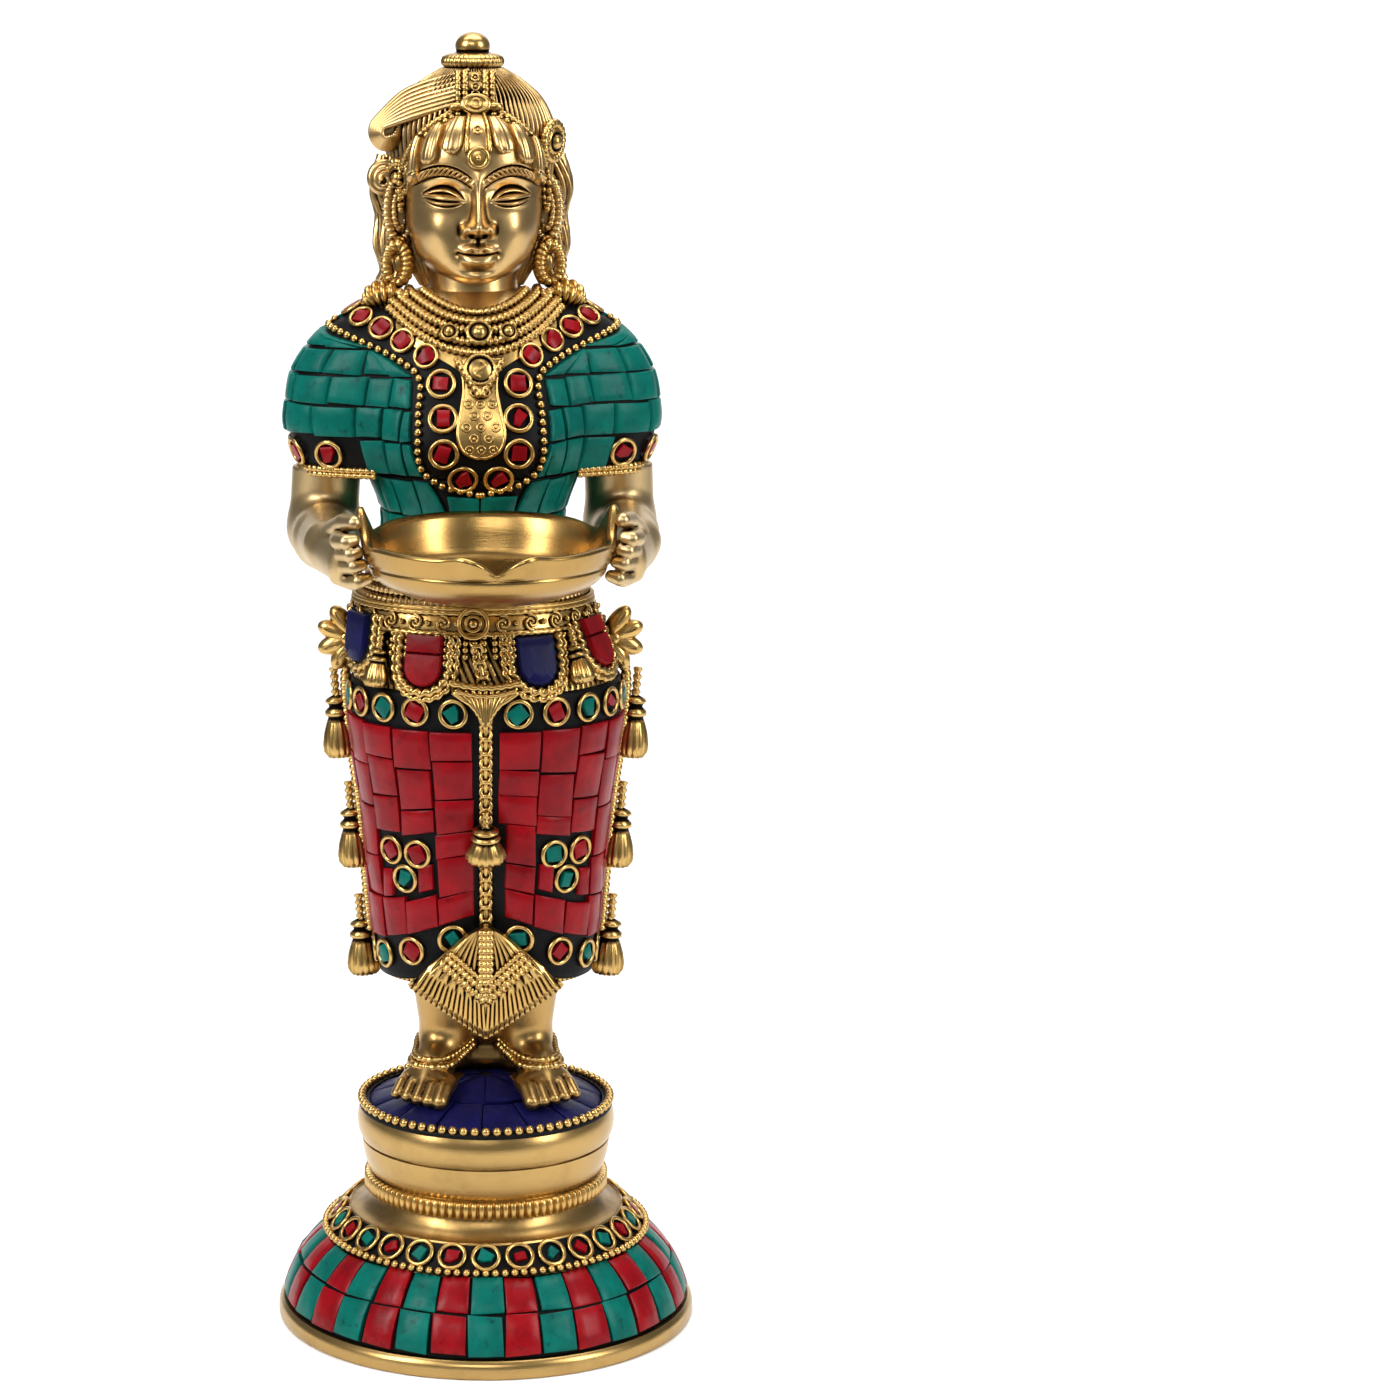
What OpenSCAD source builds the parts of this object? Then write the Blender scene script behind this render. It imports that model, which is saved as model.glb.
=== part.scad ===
// Deepalakshmi lamp: a brass lamp bearer with an oil bowl, set with stone tiles in black lac.
// Millimetres. +Z up, origin at the centre of the underside, the figure faces -Y.

/* [Pedestal] */
// Radius of the foot rim
foot_r = 50; // [47:0.5:56]
// Height of the plain brass rim
rim_h = 4.4; // [3:0.1:7]
// Bevel at the top of the rim
rim_lip = 1; // [0.6:0.1:1.4]
// Height of the tiled dome above the rim
dome_h = 17; // [14:0.5:22]
// How far the tiled dome bulges out of a straight cone
dome_bulge = 2; // [1:0.1:3]
// Radius at the top of the tiled dome
dome_top_r = 38; // [36:0.5:41]
// Height of the sloping band that carries the wire rings
band_h = 5.4; // [5:0.1:7]
// Radius at the top of that band
band_top_r = 33; // [31.5:0.5:34.5]
// Height of the plain flare above the band
flare_h = 4.6; // [3:0.1:7]
// Radius of the neck
neck_r = 27.4; // [25:0.2:29]
// Height of the milled collar
collar_h = 4.2; // [3:0.1:6]
// How far the collar stands out of the neck
collar_out = 1.8; // [1:0.1:2.6]
// Number of milled ribs on the collar
collar_ribs = 96; // [48:1:120]
// Height of the tapered part of the drum
taper_h = 8; // [5:0.5:12]
// Greatest radius of the drum
drum_r = 30.8; // [30:0.2:33]
// Height of the rounded part of the drum
drum_h = 9; // [7:0.5:13]
// Rise of the lapis dome above the drum
cap_h = 6.4; // [4.5:0.1:8]
// Wall of the hollow pedestal
wall = 3.4; // [2.6:0.1:4.5]

/* [Fixing] */
// Diameter of the stud under the foot plate
stud_d = 6; // [5:0.5:8]
// Room round the stud
stud_clearance = 0.3; // [0.1:0.05:0.6]
// Diameter of the washer
washer_d = 18; // [16:1:24]
// Thickness of the washer
washer_t = 1.5; // [1:0.1:2.5]
// Nut across its corners
nut_d = 11.5; // [10.5:0.5:14]
// Height of the nut
nut_h = 5; // [4:0.5:7]

/* [Mosaic] */
// Thickness of the lac bed under the tiles
lac_t = 0.8; // [0.6:0.1:1.2]
// Thickness of the stone tiles
tile_t = 1.3; // [1:0.1:1.8]
// Room left between a curved bed and what it is set on
seat_gap = 0.3; // [0.2:0.05:0.5]
// Lac gap between tiles
tile_gap = 0.5; // [0.3:0.1:0.8]
// Tile columns round the foot, an even number
foot_columns = 34; // [28:2:40]
// Lapis tiles round the dome
lapis_columns = 18; // [12:1:24]
// Tile columns round each leg
leg_columns = 9; // [8:1:11]
// Tile rows down each leg
leg_rows = 6; // [5:1:8]
// Tile columns round each half of the blouse
blouse_columns = 13; // [11:1:15]
// Outer diameter of the wire rings
ring_d = 7.2; // [6.4:0.1:7.8]
// Diameter of the ring wire
wire_d = 1.1; // [0.8:0.1:1.4]
// Side of the square stone chips inside the rings
chip_w = 3; // [2:0.1:3.4]
// Thickness of those chips
chip_t = 1; // [0.6:0.1:1.4]
// Room between neighbouring rings on the foot
ring_spacing = 0.7; // [0.4:0.1:1.2]
// Diameter of the beads on the foot and the yoke
bead_d = 1.7; // [1.3:0.1:1.9]
// Diameter of the beads round the drum
drum_bead_d = 2; // [1.6:0.1:2.3]

/* [Skirt] */
// Height of the soles above the top of the drum
sole_h = 5.4; // [4:0.1:7]
// Height of the hem above the soles
leg_h = 27; // [24:0.5:32]
// Spacing of the ankles
ankle_gap = 20; // [18:0.5:22]
// Ankle diameter
ankle_d = 12; // [10:0.5:13]
// Length of each foot
foot_l = 26; // [22:0.5:28]
// Width across the toes
toe_w = 13.5; // [11:0.5:15]
// Outward turn of the feet
foot_turn = 18; // [10:1:22]
// Height of the skirt from hem to waist
skirt_h = 90; // [84:1:100]
// Width at the hem
hem_w = 49; // [46:0.5:54]
// Depth at the hem
hem_d = 38; // [35:0.5:42]
// Height of the knees above the hem
knee_h = 39; // [35:1:44]
// Width at the knees
knee_w = 55.5; // [52:0.5:60]
// Depth at the knees
knee_d = 46; // [42:0.5:50]
// Height of the hips above the hem
hip_h = 69; // [64:1:74]
// Width at the hips
hip_w = 62; // [57:0.5:66]
// Depth at the hips
hip_d = 54; // [48:0.5:58]
// Width at the waist
waist_w = 53; // [48:0.5:57]
// Depth at the waist
waist_d = 44; // [40:0.5:48]
// Depth of the cleft between the legs at the hem
leg_cleft = 5; // [3:0.5:7]

/* [Blouse] */
// Height of the trunk from waist to neck
torso_h = 72; // [67:1:78]
// Width of the midriff
midriff_w = 39; // [36:0.5:42]
// Width of the chest inside the sleeves
chest_w = 53; // [50:0.5:56]
// How far the sleeves stand out of the chest
sleeve_out = 15; // [13:0.5:17]
// Height of the sleeve hems above the waist
sleeve_h = 31; // [29:0.5:34]
// Front of the midriff, from the axis
midriff_front = 20; // [18:0.5:22]
// Front of the chest, from the axis
chest_front = 26; // [23:0.5:28]
// Back of the chest, from the axis
chest_back = 22; // [20:0.5:24]
// Diameter of the neck
neck_d = 20.4; // [18:0.2:22]
// Half-width of the U-shaped yoke
yoke_w = 14.4; // [13.6:0.2:15.4]

/* [Arms and bowl] */
// Diameter of the upper arms
arm_d = 16; // [13:0.5:17]
// Diameter of the wrists
wrist_d = 10.5; // [9:0.5:12]
// Drop of the elbows below the sleeve hems
elbow_drop = 14.5; // [12:0.5:18]
// Radius of the bowl at its rim
bowl_r = 28; // [25:0.5:31]
// Depth of the bowl
bowl_depth = 14; // [12:0.5:17]
// Height of the rim band of the bowl
bowl_band = 5; // [4:0.5:6]
// Wall of the bowl
bowl_wall = 1.8; // [1.4:0.1:2.4]
// Height of the bowl's rim above the waist
bowl_h = 21; // [19:0.5:23]
// Room between the bowl and the tiles behind it
bowl_clearance = 0.6; // [0.3:0.1:1.5]
// Depth of the V notch in the front lip
notch_depth = 2.6; // [1.5:0.1:4]

/* [Head] */
// Height of the chin above the neck seat
chin_gap = 2.5; // [2:0.1:4]
// Height of the head from chin to crown
head_h = 47.5; // [45:0.5:52]
// Width of the face
face_w = 31; // [29:0.2:33]
// Front of the face, from the head's centre
face_front = 17; // [16:0.5:18.5]
// Width of the hair
hair_w = 39; // [37:0.5:42]
// Height of the finial
finial_h = 8; // [6:0.5:11]
// Diameter of the finial
finial_d = 8; // [7:0.5:10]

/* [Stance] */
// Sideways shift of the upper body
lean = -3; // [-5:0.5:0]
// Turn of the upper body about its axis
turn = 4; // [0:0.5:6]

/* [Hidden] */
$fn = 28;

// Colours
brass = [0.72, 0.55, 0.25];
coral = [0.62, 0.08, 0.12];
turquoise = [0.05, 0.48, 0.40];
lapis = [0.08, 0.09, 0.32];
lac = [0.05, 0.05, 0.06];
steel = [0.6, 0.6, 0.62];

// Heights of the pedestal, from the floor up
dome_z = rim_h + dome_h;
band_z = dome_z + band_h;
flare_z = band_z + flare_h;
collar_z = flare_z + collar_h;
taper_z = collar_z + taper_h;
drum_z = taper_z + drum_h;
bed = lac_t + tile_t;
// Rings on the slope above the foot tiles fill it from edge to edge
band_clear = 0.16;
band_mid_r = (dome_top_r + band_top_r) / 2;
band_run = [band_top_r - dome_top_r, band_h];
bead_out = bead_d * 0.37;
// The rings start above the band's lower edge, and clear of the beads there where the band is steep
ring_low = max(band_clear / 2, bead_out * (band_run.x + band_run.y) / norm(band_run));
foot_ring_d = norm(band_run) - band_clear / 2 - ring_low;
ring_centre = [dome_top_r, dome_z] + band_run * (ring_low + foot_ring_d / 2) / norm(band_run);
foot_rings_n = 2 * floor(PI * band_mid_r / (foot_ring_d + ring_spacing));
foot_edge = [foot_r - rim_lip, rim_h];
foot_top = [dome_top_r, dome_z];
cap_r = drum_r - drum_bead_d - 0.2;
seat_z = drum_z - bed;
deck_z = seat_z - wall;

// Heights of the figure
sole_z = drum_z + sole_h;
skirt_z = sole_z + leg_h;
torso_z = skirt_z + skirt_h;
head_z = torso_z + torso_h + chin_gap;
crown_z = head_z + head_h;
bowl_z = torso_z + bowl_h;

// Smooth helpers
function ease(t) = let (u = min(max(t, 0), 1)) u * u * (3 - 2 * u);
function bell(x, w) = exp(-pow(x / w, 2));
function lobe(x, w) = exp(-pow(abs(x) / w, 2.5));
function unit(v) = v / norm(v);
function mix(a, b, t) = a + (b - a) * t;

// Value at x of a smooth curve through [x, value] stations
function span(x, p, i = 0) = (i >= len(p) - 2 || x < p[i + 1][0]) ? i : span(x, p, i + 1);
function rate(p, i) =
    let (a = max(i - 1, 0), b = min(i + 1, len(p) - 1)) (p[b][1] - p[a][1]) / (p[b][0] - p[a][0]);
function curve(x, p) =
    x <= p[0][0] ? p[0][1] :
    x >= p[len(p) - 1][0] ? p[len(p) - 1][1] :
    let (
        i = span(x, p),
        w = p[i + 1][0] - p[i][0],
        t = (x - p[i][0]) / w
    )
    p[i][1] * (2 * t * t * t - 3 * t * t + 1) + rate(p, i) * w * (t * t * t - 2 * t * t + t)
    + p[i + 1][1] * (3 * t * t - 2 * t * t * t) + rate(p, i + 1) * w * (t * t * t - t * t);

// Points of an arc between p and q that bulges by s, moved inwards by d
function arc_centre(p, q, s) =
    let (
        c = norm(q - p),
        r = (c * c / 4 + s * s) / (2 * abs(s)),
        u = (q - p) / c
    )
    concat((p + q) / 2 - sign(s) * [u.y, -u.x] * (r - abs(s)), r);
function turn_between(a, b) = b - a > 180 ? b - a - 360 : b - a < -180 ? b - a + 360 : b - a;
function arc(p, q, s, d, n = 8) =
    let (
        c = arc_centre(p, q, s),
        r = c.z - sign(s) * d,
        a0 = atan2(p.y - c.y, p.x - c.x),
        da = turn_between(a0, atan2(q.y - c.y, q.x - c.x))
    )
    [for (i = [0:n]) let (a = a0 + da * i / n) [max(0.01, c.x + r * cos(a)), c.y + r * sin(a)]];
function back(list) = [for (i = [len(list) - 1:-1:0]) list[i]];

// Triangles of a grid with n by m cells, seen clockwise from outside
function cells(n, m, first, row) = [
    for (j = [0:m - 1])
        for (i = [0:n - 1])
            let (a = first + j * row + i)
            each [[a, a + row + 1, a + 1], [a, a + row, a + row + 1]]
];
function flipped(faces) = [for (f = faces) [f[0], f[2], f[1]]];

// A solid lofted through rings of f(angle, height, 0), closed at both ends
module loft(f, angles, heights) {
    n = len(angles);
    m = len(heights);
    rings = [for (z = heights) for (a = angles) f(a, z, 0)];
    low = [for (i = [0:n - 1]) rings[i]];
    high = [for (i = [0:n - 1]) rings[(m - 1) * n + i]];
    ones = [for (i = [1:n]) 1];
    ends = [ones * low / n, ones * high / n];
    sides = [
        for (j = [0:m - 2])
            for (i = [0:n - 1])
                let (a = j * n + i, b = j * n + (i + 1) % n)
                each [[a, b + n, b], [a, a + n, b + n]]
    ];
    caps = [
        for (i = [0:n - 1])
            let (k = (i + 1) % n)
            each [[n * m, i, k], [n * m + 1, (m - 1) * n + k, (m - 1) * n + i]]
    ];
    polyhedron(concat(rings, ends), concat(sides, caps), convexity = 6);
}

// A curved plate between the depths d0 and d1 of f(u, v, depth), on a grid of u and v values
module plate(f, d0, d1, us, vs) {
    n = len(us) - 1;
    m = len(vs) - 1;
    row = n + 1;
    count = row * (m + 1);
    pts = [for (d = [d1, d0]) for (v = vs) for (u = us) f(u, v, d)];
    rim = concat(
        [for (i = [0:n - 1]) [i, i + 1]],
        [for (j = [0:m - 1]) [j * row + n, (j + 1) * row + n]],
        [for (i = [n:-1:1]) [m * row + i, m * row + i - 1]],
        [for (j = [m:-1:1]) [j * row, (j - 1) * row]]
    );
    walls = [for (e = rim) each [[e[0], e[1], e[1] + count], [e[0], e[1] + count, e[0] + count]]];
    polyhedron(
        pts,
        concat(cells(n, m, 0, row), flipped(cells(n, m, count, row)), walls),
        convexity = 4
    );
}
function steps(a, b, n) = [for (i = [0:n]) mix(a, b, i / n)];

// Children sit on f(angle, height, depth) with +Z along its outward normal and +Y up the surface
module on_surface(f, a, z, d) {
    p = f(a, z, d);
    x = unit(f(a + 0.5, z, d) - f(a - 0.5, z, d));
    n = unit(cross(x, f(a, z + 0.3, d) - f(a, z - 0.3, d)));
    y = cross(n, x);
    multmatrix([[x.x, y.x, n.x, p.x], [x.y, y.y, n.y, p.y], [x.z, y.z, n.z, p.z], [0, 0, 0, 1]])
        children();
}

// The upper body leans and turns as one
module upper() {
    translate([lean, 0, 0])
        rotate([0, 0, turn])
            children();
}
module both_sides() {
    children();
    mirror([1, 0, 0])
        children();
}

// Small repeated pieces, each seated on the XY plane
module wire_ring(d = ring_d) {
    translate([0, 0, wire_d / 2])
        rotate_extrude()
            translate([(d - wire_d) / 2, 0])
                circle(d = wire_d);
}
module chip(spin, d = ring_d) {
    w = chip_w * d / ring_d;
    rotate([0, 0, spin])
        translate([-w / 2, -w / 2, 0])
            cube([w, w, chip_t]);
}
module bead(d) {
    translate([0, 0, d / 2])
        sphere(d = d);
}
module boss(r, h) {
    rotate_extrude()
        polygon(concat([[0, 0]], arc([r, 0], [0.01, h], r * 0.16, 0, 5), [[0, h]]));
}
module rod(p, q, d1, d2) {
    hull() {
        translate(p)
            sphere(d = d1);
        translate(q)
            sphere(d = d2);
    }
}

// The pedestal

module pedestal() {
    outer = concat(
        [[foot_r - wall, 0], [foot_r, 0], [foot_r, rim_h - rim_lip], foot_edge],
        arc(foot_edge, foot_top, dome_bulge, bed),
        [[band_top_r, band_z - lac_t * 1.5]],
        arc([band_top_r, band_z], [neck_r, flare_z], -1.2, 0, 4),
        [[neck_r, collar_z]],
        arc([neck_r + 0.3, collar_z + 0.5], [drum_r - 1.2, taper_z], 0.4, 0, 4),
        [[drum_r - 1.6, taper_z + 0.3]],
        arc([drum_r - 1, taper_z + 0.6], [drum_r - 0.8, drum_z - 0.6], 1, 0, 6),
        [[drum_r - 1.2, drum_z], [cap_r, drum_z], [cap_r, seat_z], [stud_d / 2 + stud_clearance, seat_z]]
    );
    inner = concat(
        [[stud_d / 2 + stud_clearance, deck_z], [neck_r - wall, deck_z]],
        [[neck_r - wall, flare_z], [band_top_r - wall - 1.5, band_z - wall]],
        back(arc(foot_edge, foot_top, dome_bulge, bed + wall * 0.7, 5))
    );
    color(brass)
        rotate_extrude()
            polygon(concat(outer, inner));
}

module ribbed_collar() {
    steps = collar_ribs * 4;
    ring = [
        for (i = [0:steps - 1])
            (neck_r + collar_out - (i % 4 == 0 ? 0.5 : 0)) * [cos(i * 360 / steps), sin(i * 360 / steps)]
    ];
    color(brass)
        translate([0, 0, flare_z])
            difference() {
                linear_extrude(height = collar_h)
                    polygon(ring);
                translate([0, 0, -1])
                    cylinder(h = collar_h + 2, r = neck_r);
            }
}

module foot_lac() {
    top = arc(foot_edge, foot_top, dome_bulge, tile_t);
    under = arc(foot_edge, foot_top, dome_bulge, bed);
    color(lac)
        rotate_extrude()
            polygon(concat(
                top,
                [foot_top, [band_top_r, band_z], [band_top_r, band_z - lac_t * 1.5]],
                back(under)
            ));
}

// One row of foot tiles is the part of the dome between the shares s0 and s1 of its arc
module foot_tile(s0, s1) {
    n = 24;
    top = arc(foot_edge, foot_top, dome_bulge, 0, n);
    under = arc(foot_edge, foot_top, dome_bulge, tile_t - 0.05, n);
    i0 = round(s0 * n);
    i1 = round(s1 * n);
    step = max(1, floor((i1 - i0) / 4));
    picks = concat([for (i = [i0:step:i1 - 1]) i], [i1]);
    gap = tile_gap / foot_r * 180 / PI;
    rotate_extrude(angle = 360 / foot_columns - gap)
        polygon(concat([for (i = picks) top[i]], back([for (i = picks) under[i]])));
}
module foot_tiles(first) {
    for (i = [first:2:foot_columns - 1])
        rotate([0, 0, i * 360 / foot_columns]) {
            foot_tile(1 / 24, 12 / 24);
            rotate([0, 0, 2])
                foot_tile(13 / 24, 22 / 24);
        }
}
module foot_coral_tiles() {
    color(coral)
        foot_tiles(0);
}
module foot_turquoise_tiles() {
    color(turquoise)
        foot_tiles(1);
}

ring_lift = 0.6;
ring_seat = 0.05;
module on_band(i) {
    slope = atan2(band_h, dome_top_r - band_top_r);
    rotate([0, 0, i * 360 / foot_rings_n])
        translate([ring_centre.x, 0, ring_centre.y])
            rotate([0, slope, 0])
                translate([-ring_lift, 0, ring_seat])
                    rotate([0, 0, 90])
                        children();
}
module foot_rings() {
    color(brass)
        for (i = [0:foot_rings_n - 1])
            on_band(i)
                wire_ring(foot_ring_d);
}
module foot_coral_chips() {
    color(coral)
        for (i = [0:2:foot_rings_n - 1])
            on_band(i)
                chip(i * 17, foot_ring_d);
}
module foot_turquoise_chips() {
    color(turquoise)
        for (i = [1:2:foot_rings_n - 1])
            on_band(i)
                chip(i * 23, foot_ring_d);
}

module bead_circle(r, z, d) {
    n = floor(2 * PI * r / (d * 1.3));
    color(brass)
        for (i = [0:n - 1])
            rotate([0, 0, i * 360 / n])
                translate([r, 0, z])
                    sphere(d = d);
}
module foot_beads() {
    bead_circle(dome_top_r + bead_out, dome_z + bead_out, bead_d);
}
module drum_beads() {
    bead_circle(drum_r - 1.3, drum_z + drum_bead_d / 2, drum_bead_d);
}

// The lapis dome, with the foot plate let into it

cap_edge = [cap_r - 0.2, drum_z];
cap_crown = [0.01, drum_z + cap_h];
cap_bulge = 1.2;

module sole_print(grow) {
    heel_r = ankle_d * 0.42 + grow;
    toe_r = toe_w / 2 + grow;
    both_sides()
        translate([ankle_gap / 2, 2, 0])
            rotate([0, 0, foot_turn]) {
                translate([0, foot_l * 0.22, 0])
                    circle(r = heel_r);
                translate([0, toe_r - foot_l * 0.78, 0])
                    circle(r = toe_r);
                polygon([
                    [-heel_r, foot_l * 0.22], [heel_r, foot_l * 0.22],
                    [toe_r, toe_r - foot_l * 0.78], [-toe_r, toe_r - foot_l * 0.78]
                ]);
            }
    translate([-ankle_gap / 2, -1 - grow])
        square([ankle_gap, 8 + 2 * grow]);
}
module sole_well() {
    translate([0, 0, seat_z - 1])
        linear_extrude(height = cap_h + 6)
            sole_print(0.25);
}
module drum_lac() {
    color(lac)
        difference() {
            rotate_extrude()
                polygon(concat(
                    [[0, seat_z], [cap_r, seat_z]],
                    arc(cap_edge, cap_crown, cap_bulge, tile_t, 10),
                    [[0, drum_z + cap_h - tile_t]]
                ));
            sole_well();
        }
}
module lapis_ring(i0, i1, count, first) {
    top = arc(cap_edge, cap_crown, cap_bulge, 0, 10);
    under = arc(cap_edge, cap_crown, cap_bulge, tile_t - 0.05, 10);
    picks = [for (i = [i0:i1]) i];
    gap = tile_gap * 0.6 / top[i0].x * 180 / PI;
    for (i = [0:count - 1])
        rotate([0, 0, first + i * 360 / count])
            rotate_extrude(angle = 360 / count - gap)
                polygon(concat([for (i = picks) top[i]], back([for (i = picks) under[i]])));
}
module lapis_tiles() {
    color(lapis)
        difference() {
            union() {
                lapis_ring(0, 3, lapis_columns, 0);
                lapis_ring(4, 8, round(lapis_columns / 2), 7);
            }
            sole_well();
        }
}

module fixing_stud() {
    color(steel)
        translate([0, 0, deck_z - washer_t - nut_h - 2])
            cylinder(h = wall + washer_t + nut_h + 2, d = stud_d);
}
module fixing_washer() {
    color(steel)
        translate([0, 0, deck_z - washer_t])
            difference() {
                cylinder(h = washer_t, d = washer_d);
                translate([0, 0, -1])
                    cylinder(h = washer_t + 2, d = stud_d + 2 * stud_clearance);
            }
}
module fixing_nut() {
    color(steel)
        translate([0, 0, deck_z - washer_t - nut_h])
            difference() {
                cylinder(h = nut_h, d = nut_d, $fn = 6);
                translate([0, 0, -1])
                    cylinder(h = nut_h + 2, d = stud_d);
            }
}

// Feet and skirt

module feet() {
    $fn = 8;
    toe_y = foot_l * 0.78;
    color(brass) {
        translate([0, 0, seat_z])
            linear_extrude(height = sole_z - seat_z)
                sole_print(0);
        both_sides() {
            translate([ankle_gap / 2, 2, sole_z])
                rotate([0, 0, foot_turn]) {
                    // heel, ankle and instep
                    hull() {
                        translate([0, foot_l * 0.2, 2.4])
                            sphere(d = ankle_d * 0.72);
                        translate([0, 0, 8])
                            sphere(d = ankle_d * 0.95);
                        translate([0, toe_w * 0.75 - toe_y, 1.6])
                            sphere(d = toe_w * 0.42);
                    }
                    // five toes, the big one inside
                    for (k = [0:4])
                        rod(
                            [(k - 2) * toe_w * 0.17, toe_w * 0.72 - toe_y, 2],
                            [(k - 2) * toe_w * 0.205, 1.4 + abs(k - 0.6) * 0.75 - toe_y, 1.1],
                            toe_w * 0.27,
                            k == 0 ? toe_w * 0.25 : toe_w * 0.2
                        );
                }
            // shin
            hull() {
                translate([ankle_gap / 2, 2, sole_z + 8])
                    sphere(d = ankle_d);
                translate([ankle_gap / 2 + 1, 0, skirt_z - 0.02])
                    cylinder(h = 0.02, d = ankle_d * 1.35, $fn = 16);
            }
        }
        // web between the ankles
        rod([-ankle_gap / 2, 4, sole_z + 5], [ankle_gap / 2, 4, sole_z + 5], ankle_d * 0.8, ankle_d * 0.8);
    }
}
module anklets() {
    color(brass)
        both_sides()
            translate([ankle_gap / 2, 1.6, sole_z + 10.4])
                rotate([-14, 0, 0])
                    rotate_extrude()
                        translate([ankle_d / 2 + 1.9, 0])
                            circle(d = 1.6);
}

skirt_widths = [[0, hem_w], [knee_h, knee_w], [hip_h, hip_w], [skirt_h, waist_w]];
skirt_depths = [[0, hem_d], [knee_h, knee_d], [hip_h, hip_d], [skirt_h, waist_d]];
cleft_w = 7;
function sway(z) = lean * ease((z - skirt_z - hip_h) / (skirt_h - hip_h));
function skirt_pt(a, z, d) =
    let (
        h = z - skirt_z,
        x = (curve(h, skirt_widths) / 2 + d) * cos(a),
        dip = leg_cleft * (1 - ease(h / hip_h)) * bell(x, cleft_w)
    )
    [x + sway(z), (curve(h, skirt_depths) / 2 + d - dip) * sin(a), z];

module figure_skirt() {
    color(brass)
        loft(
            function(a, z, d) skirt_pt(a, z, d),
            concat(leg_grid, [90], [for (a = back(leg_grid)) 180 - a], [-90 + 360]),
            steps(skirt_z, torso_z, 12)
        );
}

// Each leg's mosaic runs from beside the front chain round to the back
leg_front = -85;
leg_back = 82;
hem_low = 1;
hem_rise = 8;
lac_top = skirt_z + hip_h + 2.4;
ring_room = ring_d + 1.2;
function hem_edge(a) = skirt_z + hem_low + hem_rise * bell(a + 90, 42);
function leg_angle(u) = mix(leg_front, leg_back, u);
leg_grid = steps(leg_front, leg_back, leg_columns);
function leg_pt(u, v, d) =
    let (a = leg_angle(u)) skirt_pt(a, mix(hem_edge(a), lac_top, v), d);
function leg_tile_pt(u, v, d) =
    let (a = leg_angle(u)) skirt_pt(a, mix(hem_edge(a) + ring_room, lac_top - ring_room, v), d);

module skirt_lac() {
    color(lac)
        both_sides()
            plate(
                function(u, v, d) leg_pt(u, v, d), seat_gap + 0.1, lac_t,
                steps(0, 1, leg_columns), steps(0, 1, leg_rows)
            );
}
// The cells that make room for the cluster of three rings on each thigh
function cluster_cell(i, j) = (i == 1 || i == 2) && (j == 1 || j == 2);
module skirt_coral_tiles() {
    du = tile_gap / (hip_w * 1.4);
    dv = tile_gap / (lac_top - skirt_z);
    color(coral)
        both_sides()
            for (i = [0:leg_columns - 1])
                for (j = [0:leg_rows - 1])
                    if (!cluster_cell(i, j))
                        plate(
                            function(u, v, d) leg_tile_pt(u, v, d), lac_t + 0.15, bed,
                            [i / leg_columns + du, (i + 1) / leg_columns - du],
                            [j / leg_rows + dv, (j + 1) / leg_rows - dv]
                        );
}

// Wire rings of the skirt as [angle, height]: hip row, hem row and thigh cluster
hip_row_n = 10;
hem_row_n = 7;
cluster_a = leg_angle(2 / leg_columns);
cluster_z = mix(hem_edge(cluster_a) + ring_room, lac_top - ring_room, 2 / leg_rows);
cluster_step = ring_d * 0.56 / (knee_w / 2) * 180 / PI;
skirt_ring_places = concat(
    [for (i = [0:hip_row_n - 1]) [leg_angle((i + 0.5) / hip_row_n), lac_top - ring_room / 2]],
    [for (i = [0:hem_row_n - 1]) let (a = leg_angle((i + 0.5) / hem_row_n)) [a, hem_edge(a) + ring_room / 2]],
    [
        [cluster_a - cluster_step, cluster_z + ring_d * 0.45],
        [cluster_a, cluster_z - ring_d * 0.45],
        [cluster_a + cluster_step, cluster_z + ring_d * 0.45]
    ]
);
module at_skirt_rings(first, step) {
    both_sides()
        for (i = [first:step:len(skirt_ring_places) - 1])
            on_surface(
                function(a, z, d) skirt_pt(a, z, d), skirt_ring_places[i][0], skirt_ring_places[i][1], lac_t
            )
                children();
}
module skirt_rings() {
    color(brass)
        at_skirt_rings(0, 1)
            wire_ring();
}
module skirt_coral_chips() {
    color(coral)
        at_skirt_rings(1, 2)
            chip(28);
}
module skirt_turquoise_chips() {
    color(turquoise)
        at_skirt_rings(0, 2)
            chip(12);
}

// Girdle

belt_h = 5.2;
belt_t = 1.6;
belt_z = torso_z - belt_h;
module skirt_ring(z, h, t) {
    outer = [for (i = [0:47]) let (p = skirt_pt(i * 7.5, z + h / 2, t)) [p.x, p.y]];
    inner = [for (i = [0:47]) let (p = skirt_pt(i * 7.5, z, seat_gap)) [p.x, p.y]];
    translate([0, 0, z])
        linear_extrude(height = h)
            difference() {
                polygon(outer);
                polygon(inner);
            }
}
module girdle() {
    color(brass)
        skirt_ring(belt_z, belt_h, belt_t);
}

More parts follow.
